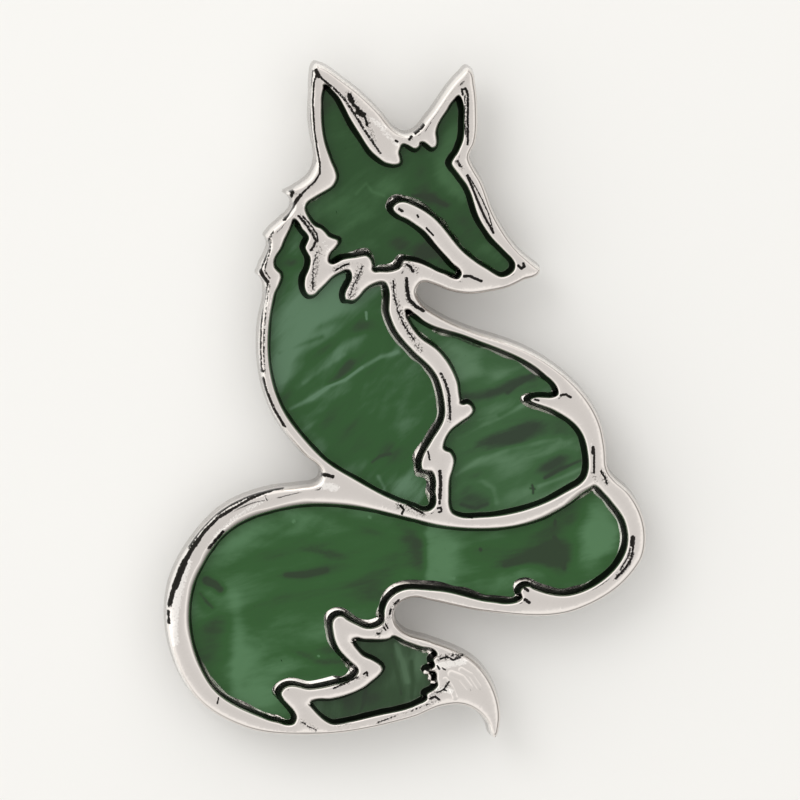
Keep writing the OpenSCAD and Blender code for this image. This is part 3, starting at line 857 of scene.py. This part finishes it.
# Veins: half width in pixels, light (+) or smoky (-), then the pixels
VEINS = {
    "panel_head": [
        (1.6, 0.3, [(356, 194), (366, 184), (372, 192), (384, 196)]),
        (1.8, -0.5, [(412, 196), (430, 198), (446, 206)]),
    ],
    "panel_chest": [
        (2.4, 0.5, [(290, 408), (312, 397), (330, 385), (345, 379), (362, 367), (380, 357), (398, 352)]),
        (0.9, 1.6, [(366, 312), (366.5, 319)]),
        (1.2, 0.5, [(312, 397), (330, 385), (345, 379), (362, 367)]),
        (5.0, 0.3, [(296, 386), (318, 366), (340, 350), (364, 334)]),
        (2.4, 0.2, [(304, 382), (322, 368), (344, 354)]),
        (4.0, -0.4, [(350, 362), (338, 376), (330, 382)]),
        (2.5, -0.3, [(280, 352), (300, 344), (322, 336)]),
        (2.0, 0.4, [(378, 476), (384, 488), (386, 496)]),
        (1.6, -0.5, [(372, 462), (380, 456), (390, 454)]),
    ],
    "panel_flank": [
        (5.5, -0.45, [(534, 378), (512, 384), (496, 392), (466, 399)]),
        (2.0, -0.4, [(538, 374), (520, 384), (508, 394)]),
        (3.0, 0.4, [(458, 440), (480, 428), (502, 418), (524, 406)]),
        (3.0, 0.4, [(456, 476), (480, 462), (510, 450), (560, 440)]),
        (2.4, -0.4, [(500, 416), (512, 410), (522, 402)]),
        (3.2, 0.35, [(456, 492), (466, 484), (482, 482), (494, 490), (497, 504)]),
        (2.4, -0.35, [(462, 506), (476, 510), (488, 506)]),
        (1.0, -1.6, [(533, 487), (534, 490), (534, 495)]),
        (0.8, -1.2, [(531, 490), (536, 491)]),
        (2.0, -0.5, [(546, 480), (560, 472), (584, 462)]),
        (2.0, 0.4, [(540, 488), (562, 480), (584, 470)]),
    ],
    "panel_tail": [
        (5.0, -1.1, [(206, 579), (214, 583), (220, 588)]),
        (2.0, -0.5, [(200, 592), (206, 600), (212, 606)]),
        (3.0, -0.4, [(286, 574), (306, 575), (326, 570)]),
        (1.1, -1.8, [(481, 551), (481.5, 551.5)]),
        (0.9, -1.4, [(556.5, 523), (556, 527)]),
        (0.9, 1.4, [(293, 521), (294, 520)]),
        (0.9, 1.4, [(369, 517), (370.5, 517.5)]),
        (0.9, 1.4, [(318, 656.5), (319, 657)]),
        (0.8, 1.0, [(449, 580), (455, 580)]),
        (4.5, 0.3, [(431, 528), (429, 552), (430, 578)]),
        (2.6, -0.4, [(506, 568), (530, 560), (552, 546)]),
        (2.2, -0.4, [(556, 540), (562, 556), (566, 572)]),
        (7.0, 0.3, [(234, 596), (238, 640), (236, 690)]),
    ],
    "panel_tail_tip": [
        (2.2, 0.6, [(396, 646), (403, 664), (408, 684)]),
        (2.0, -0.4, [(392, 656), (398, 676), (402, 696)]),
        (2.0, -0.4, [(412, 664), (414, 684), (412, 700)]),
        (2.0, -0.4, [(366, 690), (364, 704), (360, 716)]),
    ],
}
INLAY_STEP, VEIN_STEP, VEIN_REACH = 0.45 * MM, 0.1 * MM, 0.8 * MM
INLAY_ROUND, ROUND_STEPS = 0.07 * MM, 3


def nearest_parts(place, parts):
    """For each stroke near a place, its half width and strength, and the distance of its nearest part."""
    found = {}
    for a, b, half, strength in parts:
        found[half, strength] = min(found.get((half, strength), 1.0), from_part(place, a, b))
    return found


def cloud_at(place, clouds, veins_near):
    """How light or smoky the sheet is at a place, from its soft oval clouds and its veins."""
    value = 0.0
    for px, py, long_half, wide_half, turn, strength in clouds:
        off = Matrix.Rotation(-math.radians(turn), 2) @ (place - seen(px, py))
        oval = (off.x / long_half) ** 2 + (off.y / wide_half) ** 2
        value += strength * math.exp(-oval / PIXEL ** 2)
    for (half, strength), far in nearest_parts(place, veins_near(place)).items():
        value += strength * math.exp(-(far / half) ** 2)
    return value


def make_inlay(node):
    """A rounded sheet from the outline of a CAD inlay, with its clouds as an attribute."""
    low_z, high_z = (corner.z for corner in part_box(node))
    bm = merged_copy(node)
    cut_flat(bm, low_z + 0.5 * (high_z - low_z))
    bmesh.ops.remove_doubles(bm, verts=bm.verts[:], dist=0.01 * MM)
    points = [v.co.xy for v in walk_loops(bm)[0]]
    bmesh.ops.subdivide_edges(bm, edges=bm.edges[:], cuts=CUTS)
    ring = walk_loops(bm)[0]
    edge = finer(points)
    first = min(range(len(edge)), key=lambda i: (edge[i] - ring[0].co.xy).length)
    ring = ring[-first:] + ring[:-first] if first else ring
    for vert, point in zip(ring, edge):
        vert.co = (point.x, point.y, high_z - INLAY_ROUND)
    upper = ring
    crest = finer(moved(points, INLAY_ROUND))
    for k in range(1, ROUND_STEPS + 1):
        turn = math.pi / 2 * k / ROUND_STEPS
        places = [a.lerp(b, 1 - math.cos(turn)) for a, b in zip(edge, crest)]
        upper = next_ring(bm, upper, places, high_z - INLAY_ROUND * (1 - math.sin(turn)))
    fill(bm, [next_ring(bm, ring, edge, low_z)], -1)
    for face in fill(bm, [upper], 1):
        face.material_index = BARE_TOP
    veins_near = stroke_finder(stroke_parts(VEINS[node]), VEIN_REACH)
    lean = lean_shift(top_z - high_z)

    def wanted(place):
        place = place + lean
        near = min((from_part(place, a, b) - half for a, b, half, _ in veins_near(place)), default=1)
        return max(VEIN_STEP, min(INLAY_STEP, VEIN_STEP + EDGE_GROWTH * near))

    divide_evenly(bm, wanted, rounds=8, relax=2)
    bmesh.ops.recalc_face_normals(bm, faces=bm.faces[:])
    layer = bm.verts.layers.float.new("cloud")
    for vert in bm.verts:
        vert[layer] = cloud_at(vert.co.xy + lean, CLOUDS[node], veins_near)
    piece = finish_mesh(bm, node.replace("panel", "inlay"), 50)
    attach(piece, "root")
    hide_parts(node)
    print(piece.name, "triangles:", count_triangles(piece))
    return piece


INLAY_SLOTS = {"panel_head": "head_inlay", "panel_chest": "body_inlay", "panel_flank": "body_inlay",
               "panel_tail": "body_inlay", "panel_tail_tip": "tip_inlay"}
inlays = {node: make_inlay(node) for node, slot in INLAY_SLOTS.items()}

# %% [markdown]
# ## The metal finish
# The casting is plated and buffed to a mirror, but a mirror on a casting is never perfect. The
# group below gives three scales: slow waves from polishing, a faint skin, and sharp grains where
# the `grain` attribute says that the wheel didn't reach. Its other inputs paint black painted shade
# on the windows' walls, painted highlights, and dark specks on the seats with painted dark
# reflections along the folds. The pin back uses the same group with other values.

# %% A node group for polished metal
# Each noise has its features per metre, its detail and its roughness
WAVES, WAVE_HEIGHT, WAVE_TINT = (300.0, 2.0, 0.5), 0.012 * MM, (0.82, 0.78, 0.74, 1)
SKIN, SKIN_HEIGHT = (2600.0, 3.0, 0.6), 0.0016 * MM
PITS, PIT_DEPTH = (5200.0, 3.0, 0.65), 0.05 * MM
# Colours of the dark pits and painted dark reflections, of the black painted shade on the windows' walls,
# and of painted highlights
DARK_PITS_AND_PAINTED_REFLECTIONS, PAINTED_WALL_SHADE, HIGHLIGHT_COLOUR = (0.02, 0.019, 0.017, 1), (0.02, 0.02, 0.019, 1), (1.0, 0.97, 0.94, 1)
# What a finish group gives out, as which kind of socket, and the shader's input for it
FINISH = (("Color", "Color", "Base Color"), ("Roughness", "Float", "Roughness"),
          ("Normal", "Vector", "Normal"))


def put(tree, value, socket):
    """Links another node's output to a socket, or sets the socket to a constant."""
    if isinstance(value, bpy.types.NodeSocket):
        tree.links.new(value, socket)
    else:
        socket.default_value = value


def add_node(tree, kind, values=None, **settings):
    """A node with its settings. Each value for an input is a constant or another node's output."""
    node = tree.nodes.new(kind)
    for key, value in settings.items():
        setattr(node, key, value)
    for key, value in (values or {}).items():
        put(tree, value, node.inputs[key])
    return node


def maths(tree, operation, *values, clamp=False):
    """The result of a maths node."""
    return add_node(tree, "ShaderNodeMath", dict(enumerate(values)), operation=operation,
                    use_clamp=clamp).outputs[0]


def blend_colour(tree, factor, a, b):
    """The colour a, with as much of the colour b as the factor says."""
    return add_node(tree, "ShaderNodeMix", {"Factor": factor, 6: a, 7: b}, data_type="RGBA").outputs[2]


def noise_at(tree, place, scale, detail, roughness):
    """The outputs of a noise texture."""
    return add_node(tree, "ShaderNodeTexNoise", {"Vector": place, "Scale": scale, "Detail": detail,
                                                 "Roughness": roughness}).outputs


def smooth_range(tree, value, low, high):
    """0 at the low value and 1 at the high one, with a soft change between them."""
    return add_node(tree, "ShaderNodeMapRange", {"Value": value, "From Min": low, "From Max": high},
                    interpolation_type="SMOOTHSTEP").outputs["Result"]


def relief(tree, height, size, under=None, sunk=False):
    """The normal of a relief, laid over another normal if one is given."""
    values = {"Strength": 1.0, "Distance": size, "Height": height}
    if under is not None:
        values["Normal"] = under
    return add_node(tree, "ShaderNodeBump", values, invert=sunk).outputs["Normal"]


def finish_group(name, inputs):
    """A node group that gives out a finish. An input has a name, a kind of socket and a value."""
    group = bpy.data.node_groups.new(name, "ShaderNodeTree")
    for label, kind, value in inputs:
        socket = group.interface.new_socket(label, in_out="INPUT", socket_type="NodeSocket" + kind)
        socket.default_value = value
    for label, kind, _ in FINISH:
        group.interface.new_socket(label, in_out="OUTPUT", socket_type="NodeSocket" + kind)
    given, result = group.nodes.new("NodeGroupInput"), group.nodes.new("NodeGroupOutput")
    return group, given.outputs, result.inputs


def make_polish():
    """Metal with waves, skin and pits. Its marks give painted highlights, dark pits and specks, painted dark
    reflections along the folds, and black painted shade.
    """
    group, given, result = finish_group("polished_metal", [
        ("Metal", "Color", (0.75, 0.69, 0.64, 1)), ("Grain", "Float", 0.0), ("Specks_and_painted_reflection", "Float", 0.0),
        ("Painted_shade", "Float", 0.0), ("Painted_highlight", "Float", 0.0), ("Waves", "Float", 1.0),
        ("Roughness", "Float", 0.07)])
    calc, mix = partial(maths, group), partial(blend_colour, group)
    place = add_node(group, "ShaderNodeTexCoord").outputs["Object"]
    waves, skin, pits = (noise_at(group, place, *texture)["Fac"] for texture in (WAVES, SKIN, PITS))
    pitted = calc("MULTIPLY", smooth_range(group, pits, 0.5, 0.62), given["Grain"])
    normal = relief(group, calc("MULTIPLY", waves, given["Waves"]), WAVE_HEIGHT)
    normal = relief(group, skin, SKIN_HEIGHT, normal)
    put(group, relief(group, pitted, PIT_DEPTH, normal, sunk=True), result["Normal"])
    uneven = calc("MULTIPLY", calc("SUBTRACT", pits, 0.5), 1.5)

    def ragged(label, sharpness):
        """The mask of a mark, with an uneven edge."""
        return calc("MULTIPLY_ADD", calc("ADD", given[label], uneven), sharpness, -sharpness / 2,
                    clamp=True)

    shade = mix(calc("MULTIPLY", waves, 0.35, clamp=True), given["Metal"], WAVE_TINT)
    # Painted highlight
    shade = mix(ragged("Painted_highlight", 3.0), shade, HIGHLIGHT_COLOUR)
    # Dark pits, and painted dark reflections along the folds with dark specks on the seats
    shade = mix(calc("MAXIMUM", calc("MULTIPLY", pitted, 0.85), ragged("Specks_and_painted_reflection", 5.0)), shade, DARK_PITS_AND_PAINTED_REFLECTIONS)
    # Black painted shade on the windows' walls
    shade = mix(calc("MULTIPLY", given["Painted_shade"], 1.0, clamp=True), shade, PAINTED_WALL_SHADE)
    put(group, shade, result["Color"])
    rough = given["Roughness"]
    for value, share in ((skin, 0.05), (given["Grain"], 0.12), (given["Painted_shade"], 0.2)):
        rough = calc("MULTIPLY_ADD", value, share, rough)
    put(group, rough, result["Roughness"])
    return group


polish = make_polish()


def new_material(name, constants):
    """A material with constants on its shader."""
    material = bpy.data.materials.new(name)
    material.use_nodes = True
    shader = material.node_tree.nodes["Principled BSDF"]
    for label, value in constants.items():
        shader.inputs[label].default_value = value
    return material


def put_finish(tree, group, values):
    """Puts a finish group with its values before a material's shader."""
    look = add_node(tree, "ShaderNodeGroup", values, node_tree=group)
    for label, _, socket in FINISH:
        tree.links.new(look.outputs[label], tree.nodes["Principled BSDF"].inputs[socket])


def attribute(tree, name):
    return add_node(tree, "ShaderNodeAttribute", attribute_name=name).outputs["Fac"]


def metal_material(name, colour, roughness, waves, marks=()):
    """A polished metal. Each mark is an attribute for the group's input of the same name."""
    material = new_material(name, {"Metallic": 1.0})
    tree = material.node_tree
    values = {"Metal": (*colour, 1), "Roughness": roughness, "Waves": waves}
    values.update((label.capitalize(), attribute(tree, label)) for label in marks)
    put_finish(tree, polish, values)
    return material


fox.data.materials.append(metal_material("polished_casting", (0.74, 0.7, 0.675), 0.06, 1.0, MARKS))
print("metal finish on", fox.name)

# %% [markdown]
# ## The marbled sheet
# The inlays look like a clouded acetate: green, with lighter veils and brown-grey smoke, under a
# clear gloss. A warped noise, stretched along one direction, gives the veins. The `cloud`
# attribute shifts it, so that light and smoky places fall where they do on the real fox. Each
# inlay gets its own turn and shift of the noise, and the head and the tail tip are darker.

# %% A node group for the marbled sheet
WARP, WARP_REACH = (130.0, 2.0, 0.5), 4.5 * MM
BROAD, BROAD_SHARE, FINE, FINE_SHARE = (170.0, 5.0, 0.55), 2.3, (700.0, 4.0, 0.6), 0.6
RIPPLE_HEIGHT = 0.01 * MM
GLOSS = {"IOR": 1.48, "Specular IOR Level": 0.3}
STRETCH = (2.4, 0.75, 1)
# Turn of the veins in degrees, shift in mm, and the colours of smoke, green and veil
SHEETS = {
    "panel_head": (35, (3, 1, 0), (0.018, 0.034, 0.016), (0.018, 0.064, 0.017), (0.044, 0.116, 0.044)),
    "panel_chest": (48, (9, 4, 0), (0.02, 0.042, 0.019), (0.02, 0.078, 0.019), (0.09, 0.18, 0.103)),
    "panel_flank": (24, (15, 2, 0), (0.02, 0.038, 0.02), (0.031, 0.095, 0.031), (0.084, 0.174, 0.09)),
    "panel_tail": (12, (21, 7, 0), (0.019, 0.04, 0.017), (0.022, 0.086, 0.02), (0.073, 0.174, 0.078)),
    "panel_tail_tip": (80, (2, 12, 0), (0.019, 0.036, 0.018), (0.023, 0.056, 0.022), (0.062, 0.12, 0.064)),
}


def make_marble():
    """A green sheet with bent veins. The cloud value shifts it towards the veil or the smoke."""
    group, given, result = finish_group("marbled_sheet", [
        ("Vector", "Vector", (0, 0, 0)), ("Cloud", "Float", 0.0), ("Smoke", "Color", (0.02, 0.05, 0.025, 1)),
        ("Green", "Color", (0.02, 0.12, 0.035, 1)), ("Veil", "Color", (0.06, 0.22, 0.09, 1))])
    calc, mix = partial(maths, group), partial(blend_colour, group)
    warp = noise_at(group, given["Vector"], *WARP)["Color"]
    push = add_node(group, "ShaderNodeVectorMath", {0: warp, "Scale": WARP_REACH}, operation="SCALE")
    bent = add_node(group, "ShaderNodeVectorMath", {0: given["Vector"], 1: push.outputs["Vector"]},
                    operation="ADD").outputs["Vector"]
    broad, fine = (noise_at(group, bent, *texture)["Fac"] for texture in (BROAD, FINE))
    level = given["Cloud"]
    for texture, share in ((broad, BROAD_SHARE), (fine, FINE_SHARE)):
        level = calc("MULTIPLY_ADD", calc("SUBTRACT", texture, 0.5), share, level)
    shade = mix(smooth_range(group, level, -0.1, 0.65), given["Green"], given["Veil"])
    shade = mix(smooth_range(group, level, -0.1, -0.75), shade, given["Smoke"])
    put(group, shade, result["Color"])
    put(group, calc("MULTIPLY_ADD", fine, 0.06, 0.08), result["Roughness"])
    put(group, relief(group, broad, RIPPLE_HEIGHT), result["Normal"])
    return group


marble = make_marble()
for node, (turn, shift, *colours) in SHEETS.items():
    material = new_material(node.replace("panel", "marbled"), GLOSS)
    tree = material.node_tree
    mapping = add_node(tree, "ShaderNodeMapping", {
        "Vector": add_node(tree, "ShaderNodeTexCoord").outputs["Object"],
        "Location": [c * MM for c in shift], "Rotation": (0, 0, math.radians(turn)),
        "Scale": STRETCH}, vector_type="TEXTURE")
    put_finish(tree, marble, {
        "Vector": mapping.outputs["Vector"], "Cloud": attribute(tree, "cloud"),
        **{label: (*colour, 1) for label, colour in zip(("Smoke", "Green", "Veil"), colours)}})
    inlays[node].data.materials.append(material)
print("sheets:", ", ".join(SHEETS))

# %% [markdown]
# ## The pin back
# The photograph shows only the front, so the back follows the CAD solid and common bar pins. Such
# a pin has a stamped bar that is glued to the casting, a hinge with a rivet, a wire wound round the
# rivet so that it springs, and a strip bent into a catch. All of them are outlines pushed along a
# path, so one helper makes them: it takes the outline and the stations of the path.

# %% Shapes for the pin back
PIN_MIDDLE = Vector((-0.88, -3.72, 0)) * MM
# Sizes in mm, with heights from the lowest point of the pin back
BAR = {"width": 4.6, "length": 26.0, "low": 2.7, "high": 3.4}
HINGE_Y, CATCH_Y, FITTING_LENGTH = 9.1, -9.1, 3.2
STRIP, FITTING_X, WIRE_Z = 0.6, 1.7, 1.3
X, Y, Z = (Vector(axis) for axis in ((1, 0, 0), (0, 1, 0), (0, 0, 1)))


def sweep(bm, outline, stations):
    """Pushes a closed outline along a path. A station is its middle, its two sides and its scale."""
    ring = bmesh.ops.create_circle(bm, cap_ends=True, segments=len(outline), radius=MM)["verts"]
    for step, (middle, side, rise, scale) in enumerate(stations):
        places = [PIN_MIDDLE + (middle + (side * a + rise * b) * scale) * MM for a, b in outline]
        if step:
            ring = next_ring(bm, ring, [place.xy for place in places], [place.z for place in places])
        for vert, place in zip(ring, places):
            vert.co = place
    bmesh.ops.contextual_create(bm, geom=loop_edges(bm, ring))


def round_outline(count, radius=1.0, stretch=0.0, flat_at=None):
    """A circle. Its halves can be drawn apart, and its upper half can be squared off."""
    out = []
    for i in range(count):
        turn = 2 * math.pi * (i + 0.5) / count
        a, b = radius * math.cos(turn), radius * math.sin(turn)
        if flat_at is not None and b > 0:
            b = flat_at
        out.append((a, b + math.copysign(stretch, b)))
    return out


def rectangle(a, b):
    """An outline from two half sides."""
    return [(-a, -b), (a, -b), (a, b), (-a, b)]


def straight(x_from, x_to, y, z):
    """The two stations of a path along x."""
    return [(Vector((x, y, z)), Y, Z, 1) for x in (x_from, x_to)]


def soften(bm, width, least_angle):
    """Rounds the sharp edges of a stamped part."""
    sharp = [e for e in bm.edges
             if len(e.link_faces) == 2 and e.calc_face_angle() > math.radians(least_angle)]
    bmesh.ops.bevel(bm, geom=sharp, affect="EDGES", offset=width, segments=3, profile=0.5, material=-1)


# %% [markdown]
# ## Bar, hinge and catch
# The bar is a strip with round ends. The hinge is two cheeks, square where they meet the bar, with
# a saddle and a rivet between them. The catch is a strip bent twice, open on one side so that the
# wire can slip under it. Stamping and tumbling leave no sharp edge, so the sharp ones are bevelled.

# %% Stamp the bar, the hinge and the catch
CHEEK_TOP, SADDLE_Z, SADDLE_X = 3.05, 2.6, 1.5
RIVET, RIVET_X = 0.45, 2.16
CATCH_BEND, CATCH_TOP, LIP_TOP, BEND_STEPS = 0.75, 3.0, 1.7, 6

pin_mesh = bmesh.new()
bar_round = BAR["width"] / 2
bar_outline = round_outline(48, bar_round, BAR["length"] / 2 - bar_round)
sweep(pin_mesh, bar_outline, [(Z * BAR["low"], X, Y, 1), (Z * BAR["high"], X, Y, 1)])
fitting_half = FITTING_LENGTH / 2
cheek = round_outline(32, fitting_half, 0.0, CHEEK_TOP - fitting_half)
for x in (-FITTING_X, FITTING_X):
    sweep(pin_mesh, cheek, straight(x - STRIP / 2, x + STRIP / 2, HINGE_Y, fitting_half))
sweep(pin_mesh, rectangle(fitting_half, 0.1), straight(-SADDLE_X, SADDLE_X, HINGE_Y, SADDLE_Z))
sweep(pin_mesh, round_outline(24, RIVET), straight(-RIVET_X, RIVET_X, HINGE_Y, WIRE_Z))

path = [(Vector((-FITTING_X, CATCH_Y, CATCH_TOP)), X)]
for x, start in ((CATCH_BEND - FITTING_X, math.pi), (FITTING_X - CATCH_BEND, 1.5 * math.pi)):
    for k in range(BEND_STEPS + 1):
        turn = start + math.pi / 2 * k / BEND_STEPS
        outward = Vector((math.cos(turn), 0, math.sin(turn)))
        path.append((Vector((x, CATCH_Y, CATCH_BEND + STRIP / 2)) + outward * CATCH_BEND, -outward))
path.append((Vector((FITTING_X, CATCH_Y, LIP_TOP)), -X))
sweep(pin_mesh, rectangle(STRIP / 2, fitting_half), [(middle, side, Y, 1) for middle, side in path])
bmesh.ops.recalc_face_normals(pin_mesh, faces=pin_mesh.faces[:])
soften(pin_mesh, 0.09 * MM, 55)
print("faces in the stamped parts:", len(pin_mesh.faces))

# %% [markdown]
# ## The spring wire
# Two and a half turns round the rivet give the wire its spring. Then it runs to the catch, and its
# end is ground to a point. It is a circle pushed along that path and made smaller at the end.

# %% Wind the wire
WIRE = 0.35
COIL = {"radius": 0.5, "turns": 2.5, "start": 1.05, "pitch": 0.7, "steps": 24}
POINT_Y, POINT_LENGTH, POINT_SIZE = -10.7, 3.0, 0.06
RUN_STEPS, EASE_STEPS = 40, 14


def wire_stations():
    """The coil round the rivet, then the run to the catch, which thins to a point at its end."""
    out = []
    count = int(COIL["steps"] * COIL["turns"])
    for k in range(count + 1):
        turn = -math.pi / 2 + 2 * math.pi * COIL["turns"] * (1 - k / count)
        outward = Vector((0, math.cos(turn), math.sin(turn)))
        x = COIL["start"] - COIL["pitch"] * COIL["turns"] * k / count
        out.append((Vector((x, HINGE_Y, WIRE_Z)) + outward * COIL["radius"], outward, X, 1.0))
    leave = out[-1][0]
    for k in range(1, RUN_STEPS + 1):
        y = leave.y + (POINT_Y - leave.y) * k / RUN_STEPS
        ease = smooth(min(1.0, k / EASE_STEPS))
        middle = Vector((leave.x * (1 - ease), y, leave.z + (WIRE_Z - leave.z) * ease))
        thin = min(1.0, (y - POINT_Y) / POINT_LENGTH)
        out.append((middle, -Z, X, POINT_SIZE + (1 - POINT_SIZE) * thin ** 0.8))
    return out


sweep(pin_mesh, round_outline(20, WIRE), wire_stations())
bmesh.ops.recalc_face_normals(pin_mesh, faces=pin_mesh.faces[:])
pin = finish_mesh(pin_mesh, "bar_pin", 45)
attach(pin, "root")
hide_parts("pin_back")
pin.data.materials.append(metal_material("plated_steel", (0.66, 0.64, 0.61), 0.16, 0.5))
print("bar pin triangles:", count_triangles(pin))

# %% [markdown]
# ## Floor
# The brooch lies on plain pale paper, a hair below its lowest point, so that the two never share a
# plane. The floor is stage and isn't part of the object.

# %% Floor
FLOOR_HALF, FLOOR_GAP = 0.6, 0.02 * MM

floor_mesh = bmesh.new()
bmesh.ops.create_grid(floor_mesh, x_segments=8, y_segments=8, size=FLOOR_HALF)
bmesh.ops.translate(floor_mesh, verts=floor_mesh.verts[:], vec=(0, 0, -FLOOR_GAP))
floor = finish_mesh(floor_mesh, "floor", 30)
floor.data.materials.append(new_material("pale_paper", {
    "Base Color": (0.86, 0.86, 0.85, 1), "Roughness": 0.8, "Specular IOR Level": 0.2}))
print("floor:", 2 * FLOOR_HALF, "m wide")

# %% [markdown]
# ## Camera
# The photograph was taken from far away, so its outline is free of perspective: a long lens at
# 0.6 m does the same. It leans by the angles at which the casting's left and upper walls show.

# %% Camera
VIEW_ROLL = 0.09
LENS, SENSOR = 300.0, 36.0

left_lean, upper_lean = (math.tan(math.radians(lean)) for lean in VIEW_LEAN)
toward = Vector((-left_lean, upper_lean, 1)).normalized()
aim = Vector((*spot(*VIEW_MIDDLE), top_z))
reach = SHOWN / (SENSOR / LENS)
camera = bpy.data.objects.new("camera", bpy.data.cameras.new("camera"))
camera.data.lens, camera.data.sensor_width = LENS, SENSOR
camera.data.clip_start, camera.data.clip_end = 0.01, 10
right = Y.cross(toward).normalized()
up = toward.cross(right)
axes = Matrix.Rotation(math.radians(VIEW_ROLL), 3, toward) @ Matrix((right, up, toward)).transposed()
camera.matrix_world = Matrix.Translation(aim + toward * reach) @ axes.to_4x4()
bpy.context.scene.collection.objects.link(camera)
bpy.context.scene.camera = camera
print("camera distance in mm:", round(reach / MM))

# %% [markdown]
# ## Tent and lamp
# A mirror shows the room more than itself, so the light is the other half of the metal's finish.
# The photograph was shot in a white tent, darker towards the table on its far side, with a dark
# round spot where the lens looks in. The world gives the tent, a disc gives the spot, and a large
# soft lamp adds the gentle shadow.

# %% Tent and lamp
# Height in the tent, from the table to overhead, and its light on the far side and on the near side
FAR_SIDE = [(0.0, 0.2, 0.19, 0.18), (0.35, 0.26, 0.255, 0.245), (0.62, 0.5, 0.49, 0.47),
            (0.8, 0.84, 0.825, 0.8), (0.87, 0.9, 0.885, 0.86), (0.93, 0.68, 0.67, 0.655),
            (1.0, 0.62, 0.61, 0.595)]
NEAR_SIDE = [(0.0, 0.9, 0.885, 0.85), (0.35, 1.0, 0.985, 0.95), (0.8, 1.0, 0.985, 0.96),
             (0.87, 0.86, 0.845, 0.825), (0.93, 0.67, 0.66, 0.645), (1.0, 0.62, 0.61, 0.595)]
NEAR_X, NEAR_Y, SIDE_CHANGE = -0.8, 0.6, 0.9
TENT_LIGHT = 1.3
LAMP_PLACE, LAMP_WIDTH, LAMP_POWER = (-0.45, 0.5, 0.7), 0.5, 1.6
LENS_SPOT, LENS_SPOT_AHEAD = 0.024, 0.05

world = bpy.data.worlds.new("tent")
bpy.context.scene.world = world
world.use_nodes = True
sky = world.node_tree
sky.nodes.clear()
direction = add_node(sky, "ShaderNodeTexCoord").outputs["Generated"]
split = add_node(sky, "ShaderNodeSeparateXYZ", {"Vector": direction}).outputs


def tent_side(stops):
    """The light of one side of the tent by height."""
    fade = add_node(sky, "ShaderNodeValToRGB", {"Fac": split["Z"]})
    ramp = fade.color_ramp
    for stop, (height, *colour) in zip(ramp.elements, (stops[0], stops[-1])):
        stop.position, stop.color = height, (*colour, 1)
    for height, *colour in stops[1:-1]:
        ramp.elements.new(height).color = (*colour, 1)
    return fade.outputs["Color"]


nearer = maths(sky, "ADD", maths(sky, "MULTIPLY", split["X"], NEAR_X),
               maths(sky, "MULTIPLY", split["Y"], NEAR_Y))
nearer = maths(sky, "MULTIPLY_ADD", nearer, SIDE_CHANGE, 0.5, clamp=True)
tent_colour = blend_colour(sky, nearer, tent_side(FAR_SIDE), tent_side(NEAR_SIDE))
background = add_node(sky, "ShaderNodeBackground", {"Color": tent_colour, "Strength": TENT_LIGHT})
add_node(sky, "ShaderNodeOutputWorld", {"Surface": background.outputs["Background"]})

lamp = bpy.data.objects.new("soft_lamp", bpy.data.lights.new("soft_lamp", "AREA"))
lamp.data.shape, lamp.data.size, lamp.data.energy = "DISK", LAMP_WIDTH, LAMP_POWER
lamp.location = LAMP_PLACE
lamp.rotation_mode = "QUATERNION"
lamp.rotation_quaternion = lamp.location.normalized().to_track_quat("Z", "Y")
lamp.visible_glossy = False
bpy.context.scene.collection.objects.link(lamp)

spot_mesh = bmesh.new()
bmesh.ops.create_circle(spot_mesh, cap_ends=True, segments=48, radius=LENS_SPOT)
lens_spot = finish_mesh(spot_mesh, "lens_spot", 30)
lens_spot.data.transform(Matrix.Translation(aim + toward * (reach - LENS_SPOT_AHEAD)) @ axes.to_4x4())
lens_spot.visible_camera = lens_spot.visible_diffuse = lens_spot.visible_shadow = False
lens_spot.data.materials.append(new_material("lens_black", {
    "Base Color": (0.01, 0.01, 0.01, 1), "Roughness": 0.9}))
bpy.context.scene.view_settings.view_transform = "Standard"
print("tent and lamp:", world.name, lamp.name)

# %% [markdown]
# ## Update
# The view layer is brought up to date.

# %% Update the view layer
bpy.context.view_layer.update()
